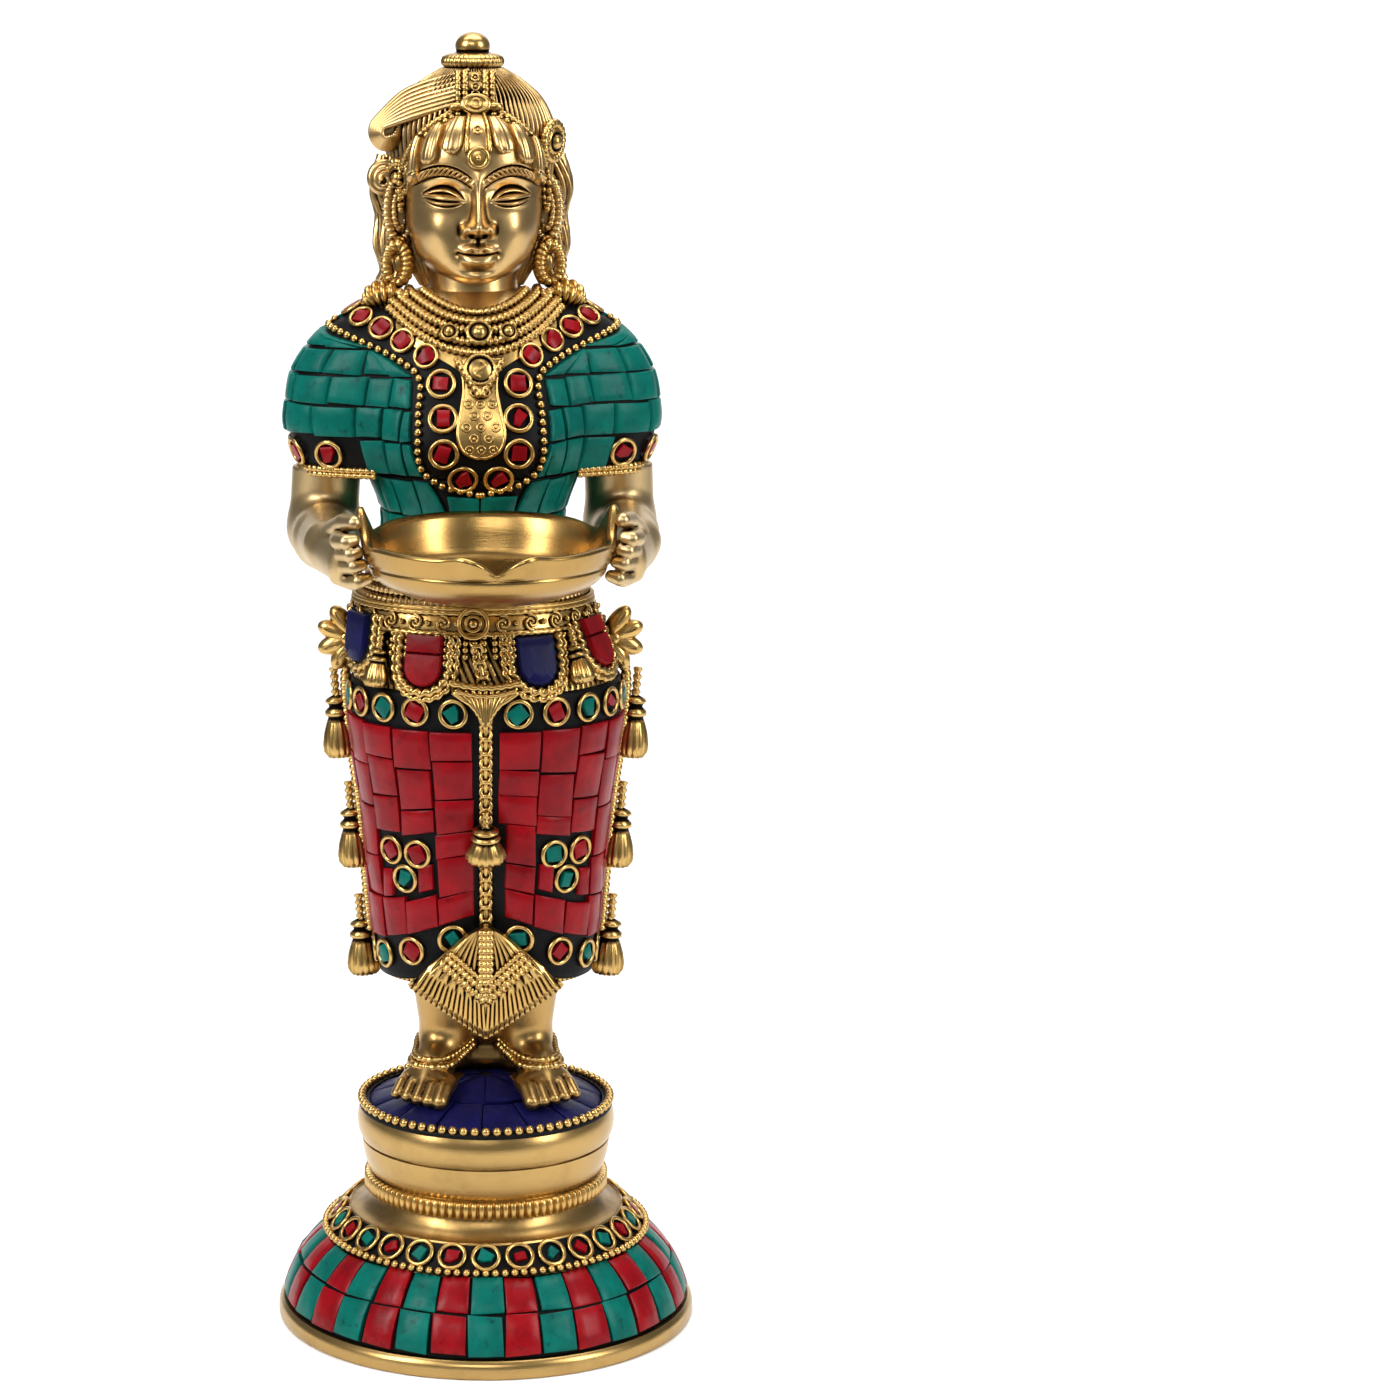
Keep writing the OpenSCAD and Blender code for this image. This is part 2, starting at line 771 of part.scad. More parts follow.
// Shield stones hang below the belt as [angle, red or blue]; each sits in a rope swag
stone_w = 9.4;
stone_h = 11.4;
stone_t = 2;
stone_z = belt_z - stone_h / 2 - 0.6;
stone_places = [
    [-155, false], [-115, true], [-65, false], [-25, true],
    [25, false], [65, true], [115, false], [155, true]
];
swag_wire = 1.6;
swag_r = stone_w / 2 + swag_wire / 2 + 0.4;
module at_stones(pick) {
    for (s = stone_places)
        if (pick == "all" || s[1] == (pick == "coral"))
            on_surface(function(a, z, d) skirt_pt(a, z, d), s[0], stone_z, 0.3)
                children();
}
module shield() {
    r = stone_w / 2;
    linear_extrude(height = stone_t)
        polygon(concat(
            [[r, stone_h / 2], [-r, stone_h / 2]],
            [for (i = [0:8]) let (a = 180 + i * 22.5) [r * cos(a), r - stone_h / 2 + r * sin(a)]]
        ));
}
module girdle_coral() {
    color(coral)
        at_stones("coral")
            shield();
}
module girdle_lapis() {
    color(lapis)
        at_stones("lapis")
            shield();
}
module swag() {
    drop = stone_h / 2 - stone_w / 2;
    translate([0, -drop, swag_wire / 2])
        rotate([0, 0, 180])
            rotate_extrude(angle = 180)
                translate([swag_r, 0])
                    circle(d = swag_wire);
    both_sides()
        translate([swag_r, -drop, swag_wire / 2])
            rotate([-90, 0, 0])
                cylinder(h = stone_h / 2 + drop, d = swag_wire);
}
module swags() {
    color(brass)
        at_stones("all")
            swag();
}

// A tassel hangs along -Y from its knot: cord, cap and flared fringe
module tassel(l, d) {
    translate([0, 0, d / 2])
        rotate([90, 0, 0])
            rotate_extrude()
                polygon([
                    [0, 0], [d * 0.28, 0], [d * 0.28, l * 0.36], [d * 0.4, l * 0.4], [d * 0.4, l * 0.46],
                    [d * 0.32, l * 0.5], [d * 0.42, l * 0.7], [d / 2, l * 0.9], [d * 0.36, l], [0, l]
                ]);
}
tassel_angles = [-135, -45, 45, 135];
module girdle_tassels() {
    color(brass)
        for (a = tassel_angles)
            on_surface(function(a, z, d) skirt_pt(a, z, d), a, belt_z - 0.5, 0.4)
                tassel(13, 4.6);
}

// The side tassels hang on both flanks at three heights, as [height above the hem, length]
side_tassel_places = [[62, 22], [35, 21], [8, 20]];
module side_tassels() {
    color(brass)
        both_sides()
            for (p = side_tassel_places)
                on_surface(function(a, z, d) skirt_pt(a, z, d), 12, skirt_z + p[0], bed - 0.25)
                    translate([0, p[1] * 0.45, 0])
                        tassel(p[1], 5.6);
}

module hip_bow() {
    lobes = [for (i = [0:20]) let (a = -62 + i * 6.2) (8 + 0.8 * cos(a * 12)) * [cos(a), sin(a)]];
    difference() {
        linear_extrude(height = 3.2)
            polygon(concat([[0, 2.4], [0, -2.4]], lobes));
        for (a = [-40, -15, 12, 38])
            rotate([0, 0, a])
                translate([4.6, -0.45, 1.4])
                    cube([3, 0.9, 3]);
    }
}
module hip_bows() {
    z = belt_z - 6.4;
    color(brass)
        for (side = [0, 1])
            translate([skirt_pt(side * 180, z, seat_gap).x, 3, z + 1.4])
                rotate([90, 0, 0])
                    mirror([side, 0, 0])
                        hip_bow();
}

// The chain down the front, with its upper fringe and its bell
chain_pitch = 2.1;
chain_top = belt_z - 1.4;
chain_low = skirt_z + 12;
bell_z = skirt_z + knee_h - 1;
module on_chain(z) {
    on_surface(function(a, z, d) skirt_pt(a, z, d), -90, z, 0.1)
        children();
}
module front_chain() {
    links = floor((chain_top - chain_low) / chain_pitch);
    color(brass) {
        for (i = [0:links])
            on_chain(chain_top - i * chain_pitch)
                translate([-1.7, 0, 1.3])
                    rotate([0, 90, 0])
                        cylinder(h = 3.4, d = chain_pitch * 1.02);
        // pointed fringe at the foot of the girdle
        on_chain(lac_top - 1.5)
            translate([0, 0, 1.4])
                linear_extrude(height = 1.8)
                    polygon([[-8.4, 4.4], [-6.6, 0.6], [0, -6.2], [6.6, 0.6], [8.4, 4.4], [0, -0.8]]);
        // bell pendant
        on_chain(bell_z)
            translate([0, 6.5, 1.2])
                tassel(12.5, 7.4);
    }
}

// The apron hangs over the shins: a pointed plate with two rope chevrons
apron_w = 36.6;
apron_t = 2.2;
apron_rise = 13.4;
apron_drop = 12.6;
apron_tilt = 6;
apron_y = hem_d / 2 - 0.8;
chevron_d = 1.7;
fringe_n = 8;
fringe_cut = 0.7;
fringe_step = [apron_w / 2 / (fringe_n + 1.2), 1.05];
module apron() {
    w = apron_w / 2;
    color(brass)
        difference() {
            translate([0, -apron_y, skirt_z])
                rotate([90 + apron_tilt, 0, 0]) {
                    difference() {
                        linear_extrude(height = apron_t)
                            polygon([
                                [-w * 0.13, apron_rise], [-w * 0.55, 7.6], [-w * 0.85, 3], [-w, -0.4],
                                [-w * 0.93, -3.2], [0, -apron_drop], [w * 0.93, -3.2], [w, -0.4],
                                [w * 0.85, 3], [w * 0.55, 7.6], [w * 0.13, apron_rise]
                            ]);
                        // fringe cuts along the lower border
                        for (s = [-1, 1])
                            for (k = [1:fringe_n])
                                translate([s * fringe_step.x * k, fringe_step.y * k - apron_drop, apron_t])
                                    rotate([0, 0, s * 42])
                                        cube([fringe_cut, 6.4, 2 * fringe_cut], center = true);
                    }
                    for (k = [0:1])
                        both_sides()
                            translate([0, k * 2.9 - 5, apron_t + 0.3])
                                rotate([0, 0, 40])
                                    rotate([0, 90, 0])
                                        cylinder(h = w * 0.7 - k * 1.6, d = chevron_d);
                }
            // the back follows the mosaic that it lies on
            loft(
                function(a, z, d) skirt_pt(a, z, lac_t + tile_t - 0.1),
                concat(leg_grid, [90], [for (a = back(leg_grid)) 180 - a], [-90 + 360]),
                steps(skirt_z, skirt_z + knee_h, 6)
            );
        }
}

// Trunk and blouse

neck_seat_d = neck_d + 2.6;
trunk_widths = [
    [0, waist_w], [sleeve_h * 0.55, midriff_w], [sleeve_h, chest_w * 0.87], [sleeve_h + 13, chest_w],
    [torso_h - 12, chest_w * 0.93], [torso_h - 3, neck_seat_d + 8], [torso_h, neck_seat_d]
];
trunk_fronts = [
    [0, waist_d / 2], [sleeve_h * 0.55, midriff_front], [sleeve_h + 6, chest_front],
    [torso_h - 18, chest_front * 0.85], [torso_h - 6, neck_d * 0.82], [torso_h, neck_seat_d / 2]
];
trunk_backs = [
    [0, waist_d / 2], [sleeve_h * 0.55, midriff_front - 1], [sleeve_h + 8, chest_back],
    [torso_h - 14, chest_back * 0.92], [torso_h - 5, neck_d * 0.76], [torso_h, neck_seat_d / 2]
];
// Share of sleeve_out from the sleeve hem (0) to the neck (1)
sleeve_shape = [
    [0, 1.02], [0.22, 1.06], [0.39, 1], [0.54, 0.92], [0.71, 0.77], [0.85, 0.64], [0.95, 0.44], [1, 0.02]
];
sleeve_spread = 25;
bust_out = 3.2;
bust_x = 11;
function torso_r(a, z) =
    let (
        h = z - torso_z,
        w = curve(h, trunk_widths) / 2,
        b = sin(a) < 0 ? curve(h, trunk_fronts) : curve(h, trunk_backs),
        r = 1 / sqrt(pow(cos(a) / w, 2) + pow(sin(a) / b, 2)),
        s = (h - sleeve_h) / (torso_h - sleeve_h),
        swell = curve(s, sleeve_shape) * lobe(asin(abs(sin(a))), sleeve_spread),
        sleeve = h < sleeve_h ? 0 : sleeve_out * swell,
        bust = sin(a) > 0 ? 0 : bust_out * bell(h - sleeve_h - 7, 9) * bell(abs(r * cos(a)) - bust_x, 8)
    )
    r + sleeve + bust;
function torso_pt(a, z, d) = let (r = torso_r(a, z) + d) [r * cos(a), r * sin(a), z];
// Angle on the front at which the trunk's surface reaches x
function front_angle(x, z, lo = -180, hi = 0, n = 18) =
    n == 0 ? (lo + hi) / 2 :
    let (m = (lo + hi) / 2)
    torso_r(m, z) * cos(m) < x ? front_angle(x, z, m, hi, n - 1) : front_angle(x, z, lo, m, n - 1);

// The blouse stops short of a strip down the back, where the plait hangs
blouse_low = torso_z + 12;
blouse_top = torso_z + torso_h - 4;
blouse_back = 76;
sleeve_z = torso_z + sleeve_h;
torso_grid = steps(-180 - blouse_back, blouse_back, 42);
belly_levels = steps(blouse_low, sleeve_z - 0.4, 3);
chest_levels = steps(sleeve_z, blouse_top, 6);
neck_levels = [blouse_top + 2.4, torso_z + torso_h];

module figure_torso() {
    color(brass)
        upper()
            loft(
                function(a, z, d) torso_pt(a, z, d), concat(torso_grid, [90]),
                concat([torso_z, torso_z + 6], belly_levels, chest_levels, neck_levels)
            );
}

module blouse_lac() {
    color(lac)
        upper() {
            plate(
                function(u, v, d) torso_pt(u, v, d), seat_gap, lac_t,
                steps(-180 - blouse_back, blouse_back, 21), belly_levels
            );
            plate(
                function(u, v, d) torso_pt(u, v, d), 0.02, lac_t,
                torso_grid, chest_levels
            );
        }
}

// Half-width of the yoke's border at each height: a deep U that opens out to the shoulders
chest_h = torso_h - sleeve_h;
yoke_low = sleeve_z - chest_h * 0.098;
yoke_h = torso_z + torso_h - yoke_low;
function yoke_z(share) = yoke_low + yoke_h * share;
yoke_edges = [
    [yoke_z(0), 0.3], [yoke_z(0.053), yoke_w * 0.62], [yoke_z(0.156), yoke_w * 0.97], [yoke_z(0.4), yoke_w],
    [yoke_z(0.6), yoke_w * 0.98], [yoke_z(0.69), yoke_w * 1.35], [yoke_z(0.767), yoke_w * 1.9],
    [yoke_z(0.844), yoke_w * 2.5]
];
function yoke_edge(z) = curve(z, yoke_edges);
function blouse_tile_pt(u, z, d) = torso_pt(mix(front_angle(yoke_edge(z), z), blouse_back, u), z, d);
blouse_rows = [
    [blouse_low, blouse_low + 9.2], [blouse_low + 9.2, sleeve_z - 0.6], [sleeve_z, sleeve_z + ring_room],
    [sleeve_z + ring_room, sleeve_z + chest_h * 0.38],
    [sleeve_z + chest_h * 0.38, sleeve_z + chest_h * 0.537],
    [sleeve_z + chest_h * 0.537, sleeve_z + chest_h * 0.668]
];
// The first row above the sleeve hems leaves room for the sleeve rings
sleeve_ring_n = 4;
sleeve_ring_step = 12.4;
function sleeve_ring_a(i) = (i - (sleeve_ring_n - 1) / 2) * sleeve_ring_step;
sleeve_ring_z = sleeve_z + ring_room / 2;
sleeve_ring_start = front_angle(yoke_edge(sleeve_ring_z), sleeve_ring_z);
function under_sleeve_ring(row, u) =
    row == 2 && abs(mix(sleeve_ring_start, blouse_back, u)) < sleeve_ring_a(sleeve_ring_n);
// Tiles round the sleeves take a fold to follow them
function on_sleeve(row, u) = row > 1 && u > 0.25 && u < 0.72;
module blouse_tiles() {
    du = tile_gap / (chest_w * 2.4);
    color(turquoise)
        upper()
            both_sides()
                for (j = [0:len(blouse_rows) - 1]) {
                    columns = j < 2 ? blouse_columns - 4 : blouse_columns;
                    for (i = [0:columns - 1])
                        if (!under_sleeve_ring(j, (i + 0.5) / columns)) {
                            folds = on_sleeve(j, i / columns) ? 2 : 1;
                            plate(
                                function(u, v, d) blouse_tile_pt(u, v, d), lac_t + 1.5 * seat_gap, bed,
                                steps(i / columns + du, (i + 1) / columns - du, folds),
                                blouse_rows[j] + [tile_gap, -tile_gap] / 2
                            );
                        }
                }
}

module on_torso(x, z, d) {
    on_surface(function(a, z, d) torso_pt(a, z, d), front_angle(x, z), z, d)
        children();
}
// Ring places on one half of the yoke, as shares of its half-width and its height
yoke_ring_places = [
    [0.271, 0.096], [0.569, 0.227], [0.569, 0.393], [0.569, 0.56],
    [0.861, 0.698], [1.292, 0.787], [1.708, 0.844], [2.083, 0.88]
];
yoke_ring_d = yoke_h * 0.16;
module at_yoke_rings() {
    upper()
        both_sides()
            for (p = yoke_ring_places)
                on_torso(p.x * yoke_w, yoke_z(p.y), lac_t + 0.1)
                    children();
}
module yoke_rings() {
    color(brass)
        at_yoke_rings()
            wire_ring(yoke_ring_d);
}
module yoke_chips() {
    color(coral)
        at_yoke_rings()
            chip(20, yoke_ring_d);
}
module yoke_beads() {
    // beads are spaced evenly along the border, which is steep at the sides and flat below
    heights = concat(
        [for (i = [0:3]) yoke_z(0.0078 + i * i * 0.0036)],
        [for (i = [0:13]) yoke_z(0.058 + i * 0.0422)],
        [for (i = [0:6]) yoke_z(0.631 + i * 0.0333)]
    );
    color(brass)
        upper()
            both_sides()
                for (z = heights)
                    on_torso(max(0.9, yoke_edge(z) - bead_d / 2 - 0.4), z - 0.2, lac_t + 0.1)
                        bead(bead_d);
}
module at_sleeve_rings() {
    upper()
        both_sides()
            for (i = [0:sleeve_ring_n - 1])
                on_surface(
                    function(a, z, d) torso_pt(a, z, d), sleeve_ring_a(i), sleeve_ring_z, lac_t + 0.2
                )
                    children();
}
module sleeve_rings() {
    color(brass)
        at_sleeve_rings()
            wire_ring();
}
module sleeve_chips() {
    color(coral)
        at_sleeve_rings()
            chip(8);
}
panel_w = yoke_w * 0.583;
function panel_pt(u, v, d) =
    let (z = yoke_z(mix(0.2, 0.689, v)))
    torso_pt(front_angle(u * panel_w / 2 * (1 - 0.3 * bell(v - 0.45, 0.2)), z), z, d);
module bodice_panel() {
    color(brass)
        upper()
            plate(
                function(u, v, d) panel_pt(u, v, d), lac_t + seat_gap, lac_t + 1.2,
                steps(-1, 1, 4), steps(0, 1, 5)
            );
}

// Necklaces: rows of beads round the neck, as [drop at the sides, added drop in front, bead, half-angle],
// with both drops as shares of the yoke's height
strands = [[0.011, 0.049, 1.7, 70], [0.058, 0.08, 2, 64], [0.102, 0.093, 1.7, 52]];
module necklaces() {
    color(brass)
        upper()
            for (s = strands)
                for (i = [-10:10])
                    let (
                        a = -90 + s[3] * i / 10,
                        z = yoke_z(1 - s[0] - s[1] * pow(sin(a), 2))
                    )
                    on_surface(function(a, z, d) torso_pt(a, z, d), a, z, lac_t + 0.1)
                        bead(s[2]);
}
module neck_bosses() {
    color(brass)
        upper()
            for (k = [-1:1])
                on_torso(k * yoke_w * 0.417, yoke_z(0.765), lac_t + 0.9)
                    boss(k == 0 ? 3.1 : 2.5, 2.6);
}
module pendant() {
    color(brass)
        upper()
            on_torso(0, yoke_z(0.631), lac_t + 1.3) {
                boss(3.4, 2.4);
                translate([0, -2.4, 0])
                    linear_extrude(height = 1.4)
                        polygon([[-2.4, 0], [0, -4], [2.4, 0]]);
            }
}
module shoulder_curls() {
    color(brass)
        upper()
            both_sides()
                translate([chest_w * 0.445, -1, torso_z + torso_h - 0.1])
                    rotate([70, 0, 0])
                        rotate_extrude()
                            translate([1.9, 0])
                                circle(d = 3.2);
}

// Arms and bowl

bowl_reach = midriff_front + bed + bowl_clearance + bowl_r;
arm_x = chest_w / 2 + sleeve_out / 2 + 0.6;
elbow_z = sleeve_z - elbow_drop;
wrist_z = bowl_z - 5;
// Outer radius of the bowl at a depth below its rim
function bowl_out(e) =
    e < bowl_band ? bowl_r - 1.6 * e / bowl_band :
    (bowl_r - 1.6) * sqrt(max(0, 1 - pow((e - bowl_band) / (bowl_depth - bowl_band), 2)));
// A place beside the bowl, at an angle from its side and a gap off its wall
function by_bowl(angle, e, gap) =
    let (
        lean_in = (bowl_out(e + 0.2) - bowl_out(e - 0.2)) / 0.4,
        out = [1, lean_in] / norm([1, lean_in]),
        r = bowl_out(e) + gap * out.x
    )
    [r * cos(angle), -bowl_reach - r * sin(angle), bowl_z - e + gap * out.y];

finger_d = 3.4;
module arm() {
    $fn = 9;
    palm_gap = finger_d / 2 + 2.2;
    elbow = [arm_x + 0.8, 3, elbow_z];
    wrist = [bowl_r + palm_gap + 2.6, 17 - bowl_reach, wrist_z];
    palm = by_bowl(-6, 5, palm_gap + 0.6);
    // upper arm, cut flat at the sleeve
    hull() {
        translate([arm_x, -0.5, sleeve_z - 0.42])
            cylinder(h = 0.02, d = arm_d, $fn = 14);
        translate(elbow)
            sphere(d = arm_d, $fn = 12);
    }
    rod(elbow, [elbow.x - 1, -12, elbow_z - 1], arm_d, arm_d * 0.9, $fn = 12);
    rod([elbow.x - 1, -12, elbow_z - 1], wrist, arm_d * 0.9, wrist_d, $fn = 12);
    rod(wrist, palm, wrist_d, 5.6);
    rod(wrist - [0, 3, 3], palm - [0, 0, 5], 6, 5);
    // thumb on the rim, four fingers round the wall
    rod(wrist + [0, -2, 2.6], [bowl_r + 2.4, 5 - bowl_reach, bowl_z + 1.4], 5, 4.2);
    rod(
        [bowl_r + 2.4, 5 - bowl_reach, bowl_z + 1.4], [bowl_r - 1, -2.5 - bowl_reach, bowl_z + 2.1],
        4.2, 3.6
    );
    for (k = [0:3]) {
        e = 2 + k * 3;
        rod(palm + [0, 0, 3.5 - k * 3], by_bowl(6, e, finger_d / 2 + 0.5), 4, finger_d, $fn = 8);
        rod(
            by_bowl(6, e, finger_d / 2 + 0.5), by_bowl(20 - k * 2, e, finger_d / 2 + 0.4),
            finger_d, finger_d * 0.85, $fn = 8
        );
    }
}
module right_arm() {
    color(brass)
        upper()
            mirror([1, 0, 0])
                arm();
}
module left_arm() {
    color(brass)
        upper()
            arm();
}

module oil_bowl() {
    n = 8;
    outside = [
        for (i = [0:n])
            let (e = bowl_depth - (bowl_depth - bowl_band) * (1 - cos(i * 90 / n))) [bowl_out(e), bowl_z - e]
    ];
    inside = [
        for (i = [0:n])
            let (e = bowl_depth - (bowl_depth - bowl_band) * (1 - cos(i * 90 / n)))
                [max(0, bowl_out(e) - bowl_wall), bowl_z - e + bowl_wall * (1 - i / n)]
    ];
    color(brass)
        upper()
            translate([0, -bowl_reach, 0])
                difference() {
                    union() {
                        rotate_extrude()
                            polygon(concat(
                                outside, [[bowl_r, bowl_z], [bowl_r - bowl_wall, bowl_z]], back(inside)
                            ));
                        // rounded lobes of the lip on both sides of the notch
                        both_sides()
                            translate([5, 4.2 - bowl_r, bowl_z - bowl_band])
                                difference() {
                                    cylinder(h = bowl_band, r = 5.6);
                                    translate([0, 0, -1])
                                        cylinder(h = bowl_band + 2, r = 5.6 - bowl_wall);
                                    translate([-9, 0, -1])
                                        cube([18, 9, bowl_band + 2]);
                                }
                    }
                    // V notch for the wick
                    translate([0, 2 - bowl_r, bowl_z + 0.01])
                        rotate([90, 0, 0])
                            linear_extrude(height = 12)
                                polygon([[-4.4, 0], [0, -notch_depth], [4.4, 0]]);
                }
}

// Head

head_y = -1.5;
hair_y = 4;
face_widths = [
    [0, 0.34], [1.5, 0.6], [5, 0.81], [10, 0.95], [16, 1], [23, 0.99], [29, 0.95], [33, 0.84],
    [36.5, 0.6], [39, 0.2]
];
face_fronts = [
    [0, 0.78], [1.5, 0.92], [5, 0.99], [10, 1], [26, 1.01], [30, 0.98], [33, 0.92], [36.5, 0.7], [39, 0.3]
];
nose_out = [[10.1, 0], [11, 2.6], [12.7, 4.4], [15.5, 3], [19, 1.7], [23, 0.9], [26, 0]];
nose_width = [[10.6, 2.7], [12.7, 2.4], [16.5, 1.5], [23, 1.7]];
function features(x, h) =
    curve(h, nose_out) * bell(x, curve(h, nose_width))
    + (1.5 * bell(h - 4.6, 1.2) + 1.3 * bell(h - 7.2, 1.1)) * bell(x, 4.2)
    + 1.1 * bell(h - 1.5, 1.8) * bell(x, 4.4)
    - 1.5 * bell(abs(x) - 6.6, 3.4) * bell(h - 20.4, 2.2)
    + 1.3 * bell(abs(x) - 6.6, 2.8) * bell(h - 18.8, 1.5)
    + 0.8 * bell(abs(x) - 7, 4.6) * bell(h - 25.2, 1.1);
function face_pt(a, z, d) =
    let (
        h = (z - head_z) * 47.5 / head_h,
        w = curve(h, face_widths) * face_w / 2,
        f = sin(a) < 0 ? curve(h, face_fronts) * face_front : curve(h, face_fronts) * 11,
        r = 1 / sqrt(pow(cos(a) / w, 2) + pow(sin(a) / f, 2)),
        g = sin(a) < 0 ? features(r * cos(a), h) * ease(-1.6 * sin(a)) : 0
    )
    [(r + g + d) * cos(a), head_y + (r + g + d) * sin(a), z];
hair_widths = [
    [-4, 0.56], [4, 0.79], [14, 0.92], [24, 0.985], [31, 1], [36, 0.95], [41, 0.81], [45, 0.57], [47.5, 0.36]
];
hair_fronts = [[-4, 6], [14, 9], [24, 11.5], [29, 13], [33, 14.2], [38, 13.8], [43, 11.6], [47.5, 6.6]];
hair_backs = [[-4, 8], [10, 12.5], [25, 15.5], [36, 15.5], [43, 11.6], [47.5, 6.6]];
function hair_pt(a, z, d) =
    let (
        h = (z - head_z) * 47.5 / head_h,
        w = curve(h, hair_widths) * hair_w / 2 + d,
        b = (sin(a) < 0 ? curve(h, hair_fronts) : curve(h, hair_backs)) + d,
        r = 1 / sqrt(pow(cos(a) / w, 2) + pow(sin(a) / b, 2))
    )
    [r * cos(a), hair_y * (1 - ease((h - 40) / 8)) + r * sin(a), z];

face_angles = concat([for (i = [0:20]) -165 + i * 7.5], [for (i = [0:9]) 3 + i * 20]);
face_levels = [
    0, 1.5, 3.2, 4.6, 5.9, 7.2, 8.6, 10, 11.2, 12.7, 14.6, 16.8, 18.8, 20.6, 23, 25.2, 27, 30, 33, 36.5, 39
];
function head_level(h) = head_z + h * head_h / 47.5;
// Lappets of hair over each half of the forehead: angle, upper and lower end
lappets = [[-70, 36.8, 30.8], [-51, 35, 28.6], [-33, 32, 23.8]];
lappet_d = 3.4;
module head() {
    $fn = 8;
    color(brass)
        upper() {
            loft(
                function(a, z, d) face_pt(a, z, d), face_angles,
                [for (h = face_levels) head_level(h)]
            );
            loft(
                function(a, z, d) hair_pt(a, z, d), [for (i = [0:25]) i * 360 / 26],
                [for (h = [-2.3, 2, 9, 17, 24, 29, 32, 35, 38, 41, 44, 46, 47.5]) head_level(h)]
            );
            translate([0, 0, torso_z + torso_h])
                cylinder(h = chin_gap + 7, d = neck_d, $fn = 28);
            both_sides()
                for (lock = lappets)
                    rod(
                        face_pt(lock[0] - 3, head_level(lock[1]), 0),
                        face_pt(lock[0], head_level(lock[2]), 0),
                        lappet_d, lappet_d
                    );
            // ears and the locks behind them
            both_sides() {
                rod([15.6, 1, head_level(21)], [17.4, -2.8, head_level(10.9)], 5, 3.8);
                rod([17, 3, head_level(14)], [19.6, 3.4, head_level(1)], 8, 6.4);
            }
            // side knot of hair
            rod([-17, 4, head_level(38)], [-21.4, 0.4, head_level(33)], 8, 5);
            rod([-21.4, 0.4, head_level(33)], [-21, -1, head_level(29)], 5, 4);
        }
}
module crown_finial() {
    r = finial_d / 2;
    color(brass)
        upper()
            translate([0, 0, crown_z])
                rotate_extrude()
                    polygon(concat(
                        [[0, 0], [6, 0], [6.7, 0.7], [6.7, 1.5], [6, 2.1], [r * 0.72, 2.2]],
                        [for (i = [0:6]) let (a = -25 + i * 115 / 6)
                            [r * cos(a), 2.2 + (finial_h - 2.2) * (0.42 + 0.58 * sin(a))]]
                    ));
}
// Jewelled strip from the crown down the parting, ending in a plaque on the forehead
module on_hair(a, h, d) {
    on_surface(function(a, z, d) hair_pt(a, z, d), a, head_level(h), d)
        children();
}
module on_face(a, h, d) {
    on_surface(function(a, z, d) face_pt(a, z, d), a, head_level(h), d)
        children();
}
module parting_strip() {
    color(brass)
        upper() {
            for (k = [0:1])
                on_hair(-90, 46 - k * 2.6, 0.2) {
                    translate([-1.5, -1.3, 0])
                        cube([3, 2.55, 1]);
                    both_sides()
                        translate([2.5, 0, 0])
                            bead(1.9);
                }
            on_hair(-90, 40.8, 0.4)
                boss(2.4, 1.8);
            for (k = [0:2])
                on_face(-90, 35.6 - k * 2.4, -0.1)
                    translate([-2.2, -1.2, 0])
                        cube([4.4, 2.35, 1.1]);
            on_face(-90, 28.2, 0)
                boss(2.4, 1.6);
        }
}
module hairline_beads() {
    color(brass)
        upper()
            both_sides()
                for (k = [1:7])
                    on_face(-83 + k * 9, 38.2 - 13.5 * pow(k / 7.2, 1.7), 0.95)
                        bead(1.6);
}
module earrings() {
    color(brass)
        upper()
            both_sides()
                translate([17.7, -3.4, head_level(3.2)])
                    rotate([84, 0, 12])
                        scale([0.92, 1.45, 1])
                            rotate_extrude()
                                translate([2.7, 0])
                                    circle(d = 2.6);
}
module ear_flowers() {
    color(brass)
        upper()
            for (place = [[-22, 31], [-158, 23]])
                on_hair(place[0], place[1], 0.8) {
                    boss(4, 1.6);
                    boss(2.4, 2.6);
                }
}
// The plait lies on the bare strip down the back, in lobes that shrink towards the waist
plait_lobes = 11;
module plait() {
    color(brass)
        upper()
            for (k = [0:plait_lobes - 1])
                let (z = torso_z + torso_h - 9 - k * 5.4, r = 4.6 - k * 0.14)
                on_surface(function(a, z, d) torso_pt(a, z, d), 90, z, 0.2)
                    boss(r, 3.4 - k * 0.1);
}

pedestal();
ribbed_collar();
foot_lac();
foot_coral_tiles();
foot_turquoise_tiles();
foot_rings();
foot_coral_chips();
foot_turquoise_chips();
foot_beads();
drum_beads();
drum_lac();
lapis_tiles();
fixing_stud();
fixing_washer();
fixing_nut();
feet();
anklets();
figure_skirt();
skirt_lac();
skirt_coral_tiles();
skirt_rings();
skirt_coral_chips();
skirt_turquoise_chips();
girdle();
swags();
girdle_coral();
girdle_lapis();
girdle_tassels();
hip_bows();
front_chain();
apron();
side_tassels();
figure_torso();
blouse_lac();
blouse_tiles();
yoke_beads();
yoke_rings();
yoke_chips();
sleeve_rings();
sleeve_chips();
bodice_panel();
necklaces();
neck_bosses();
pendant();
shoulder_curls();
left_arm();
right_arm();
oil_bowl();
head();
crown_finial();
parting_strip();
hairline_beads();
earrings();
ear_flowers();
plait();
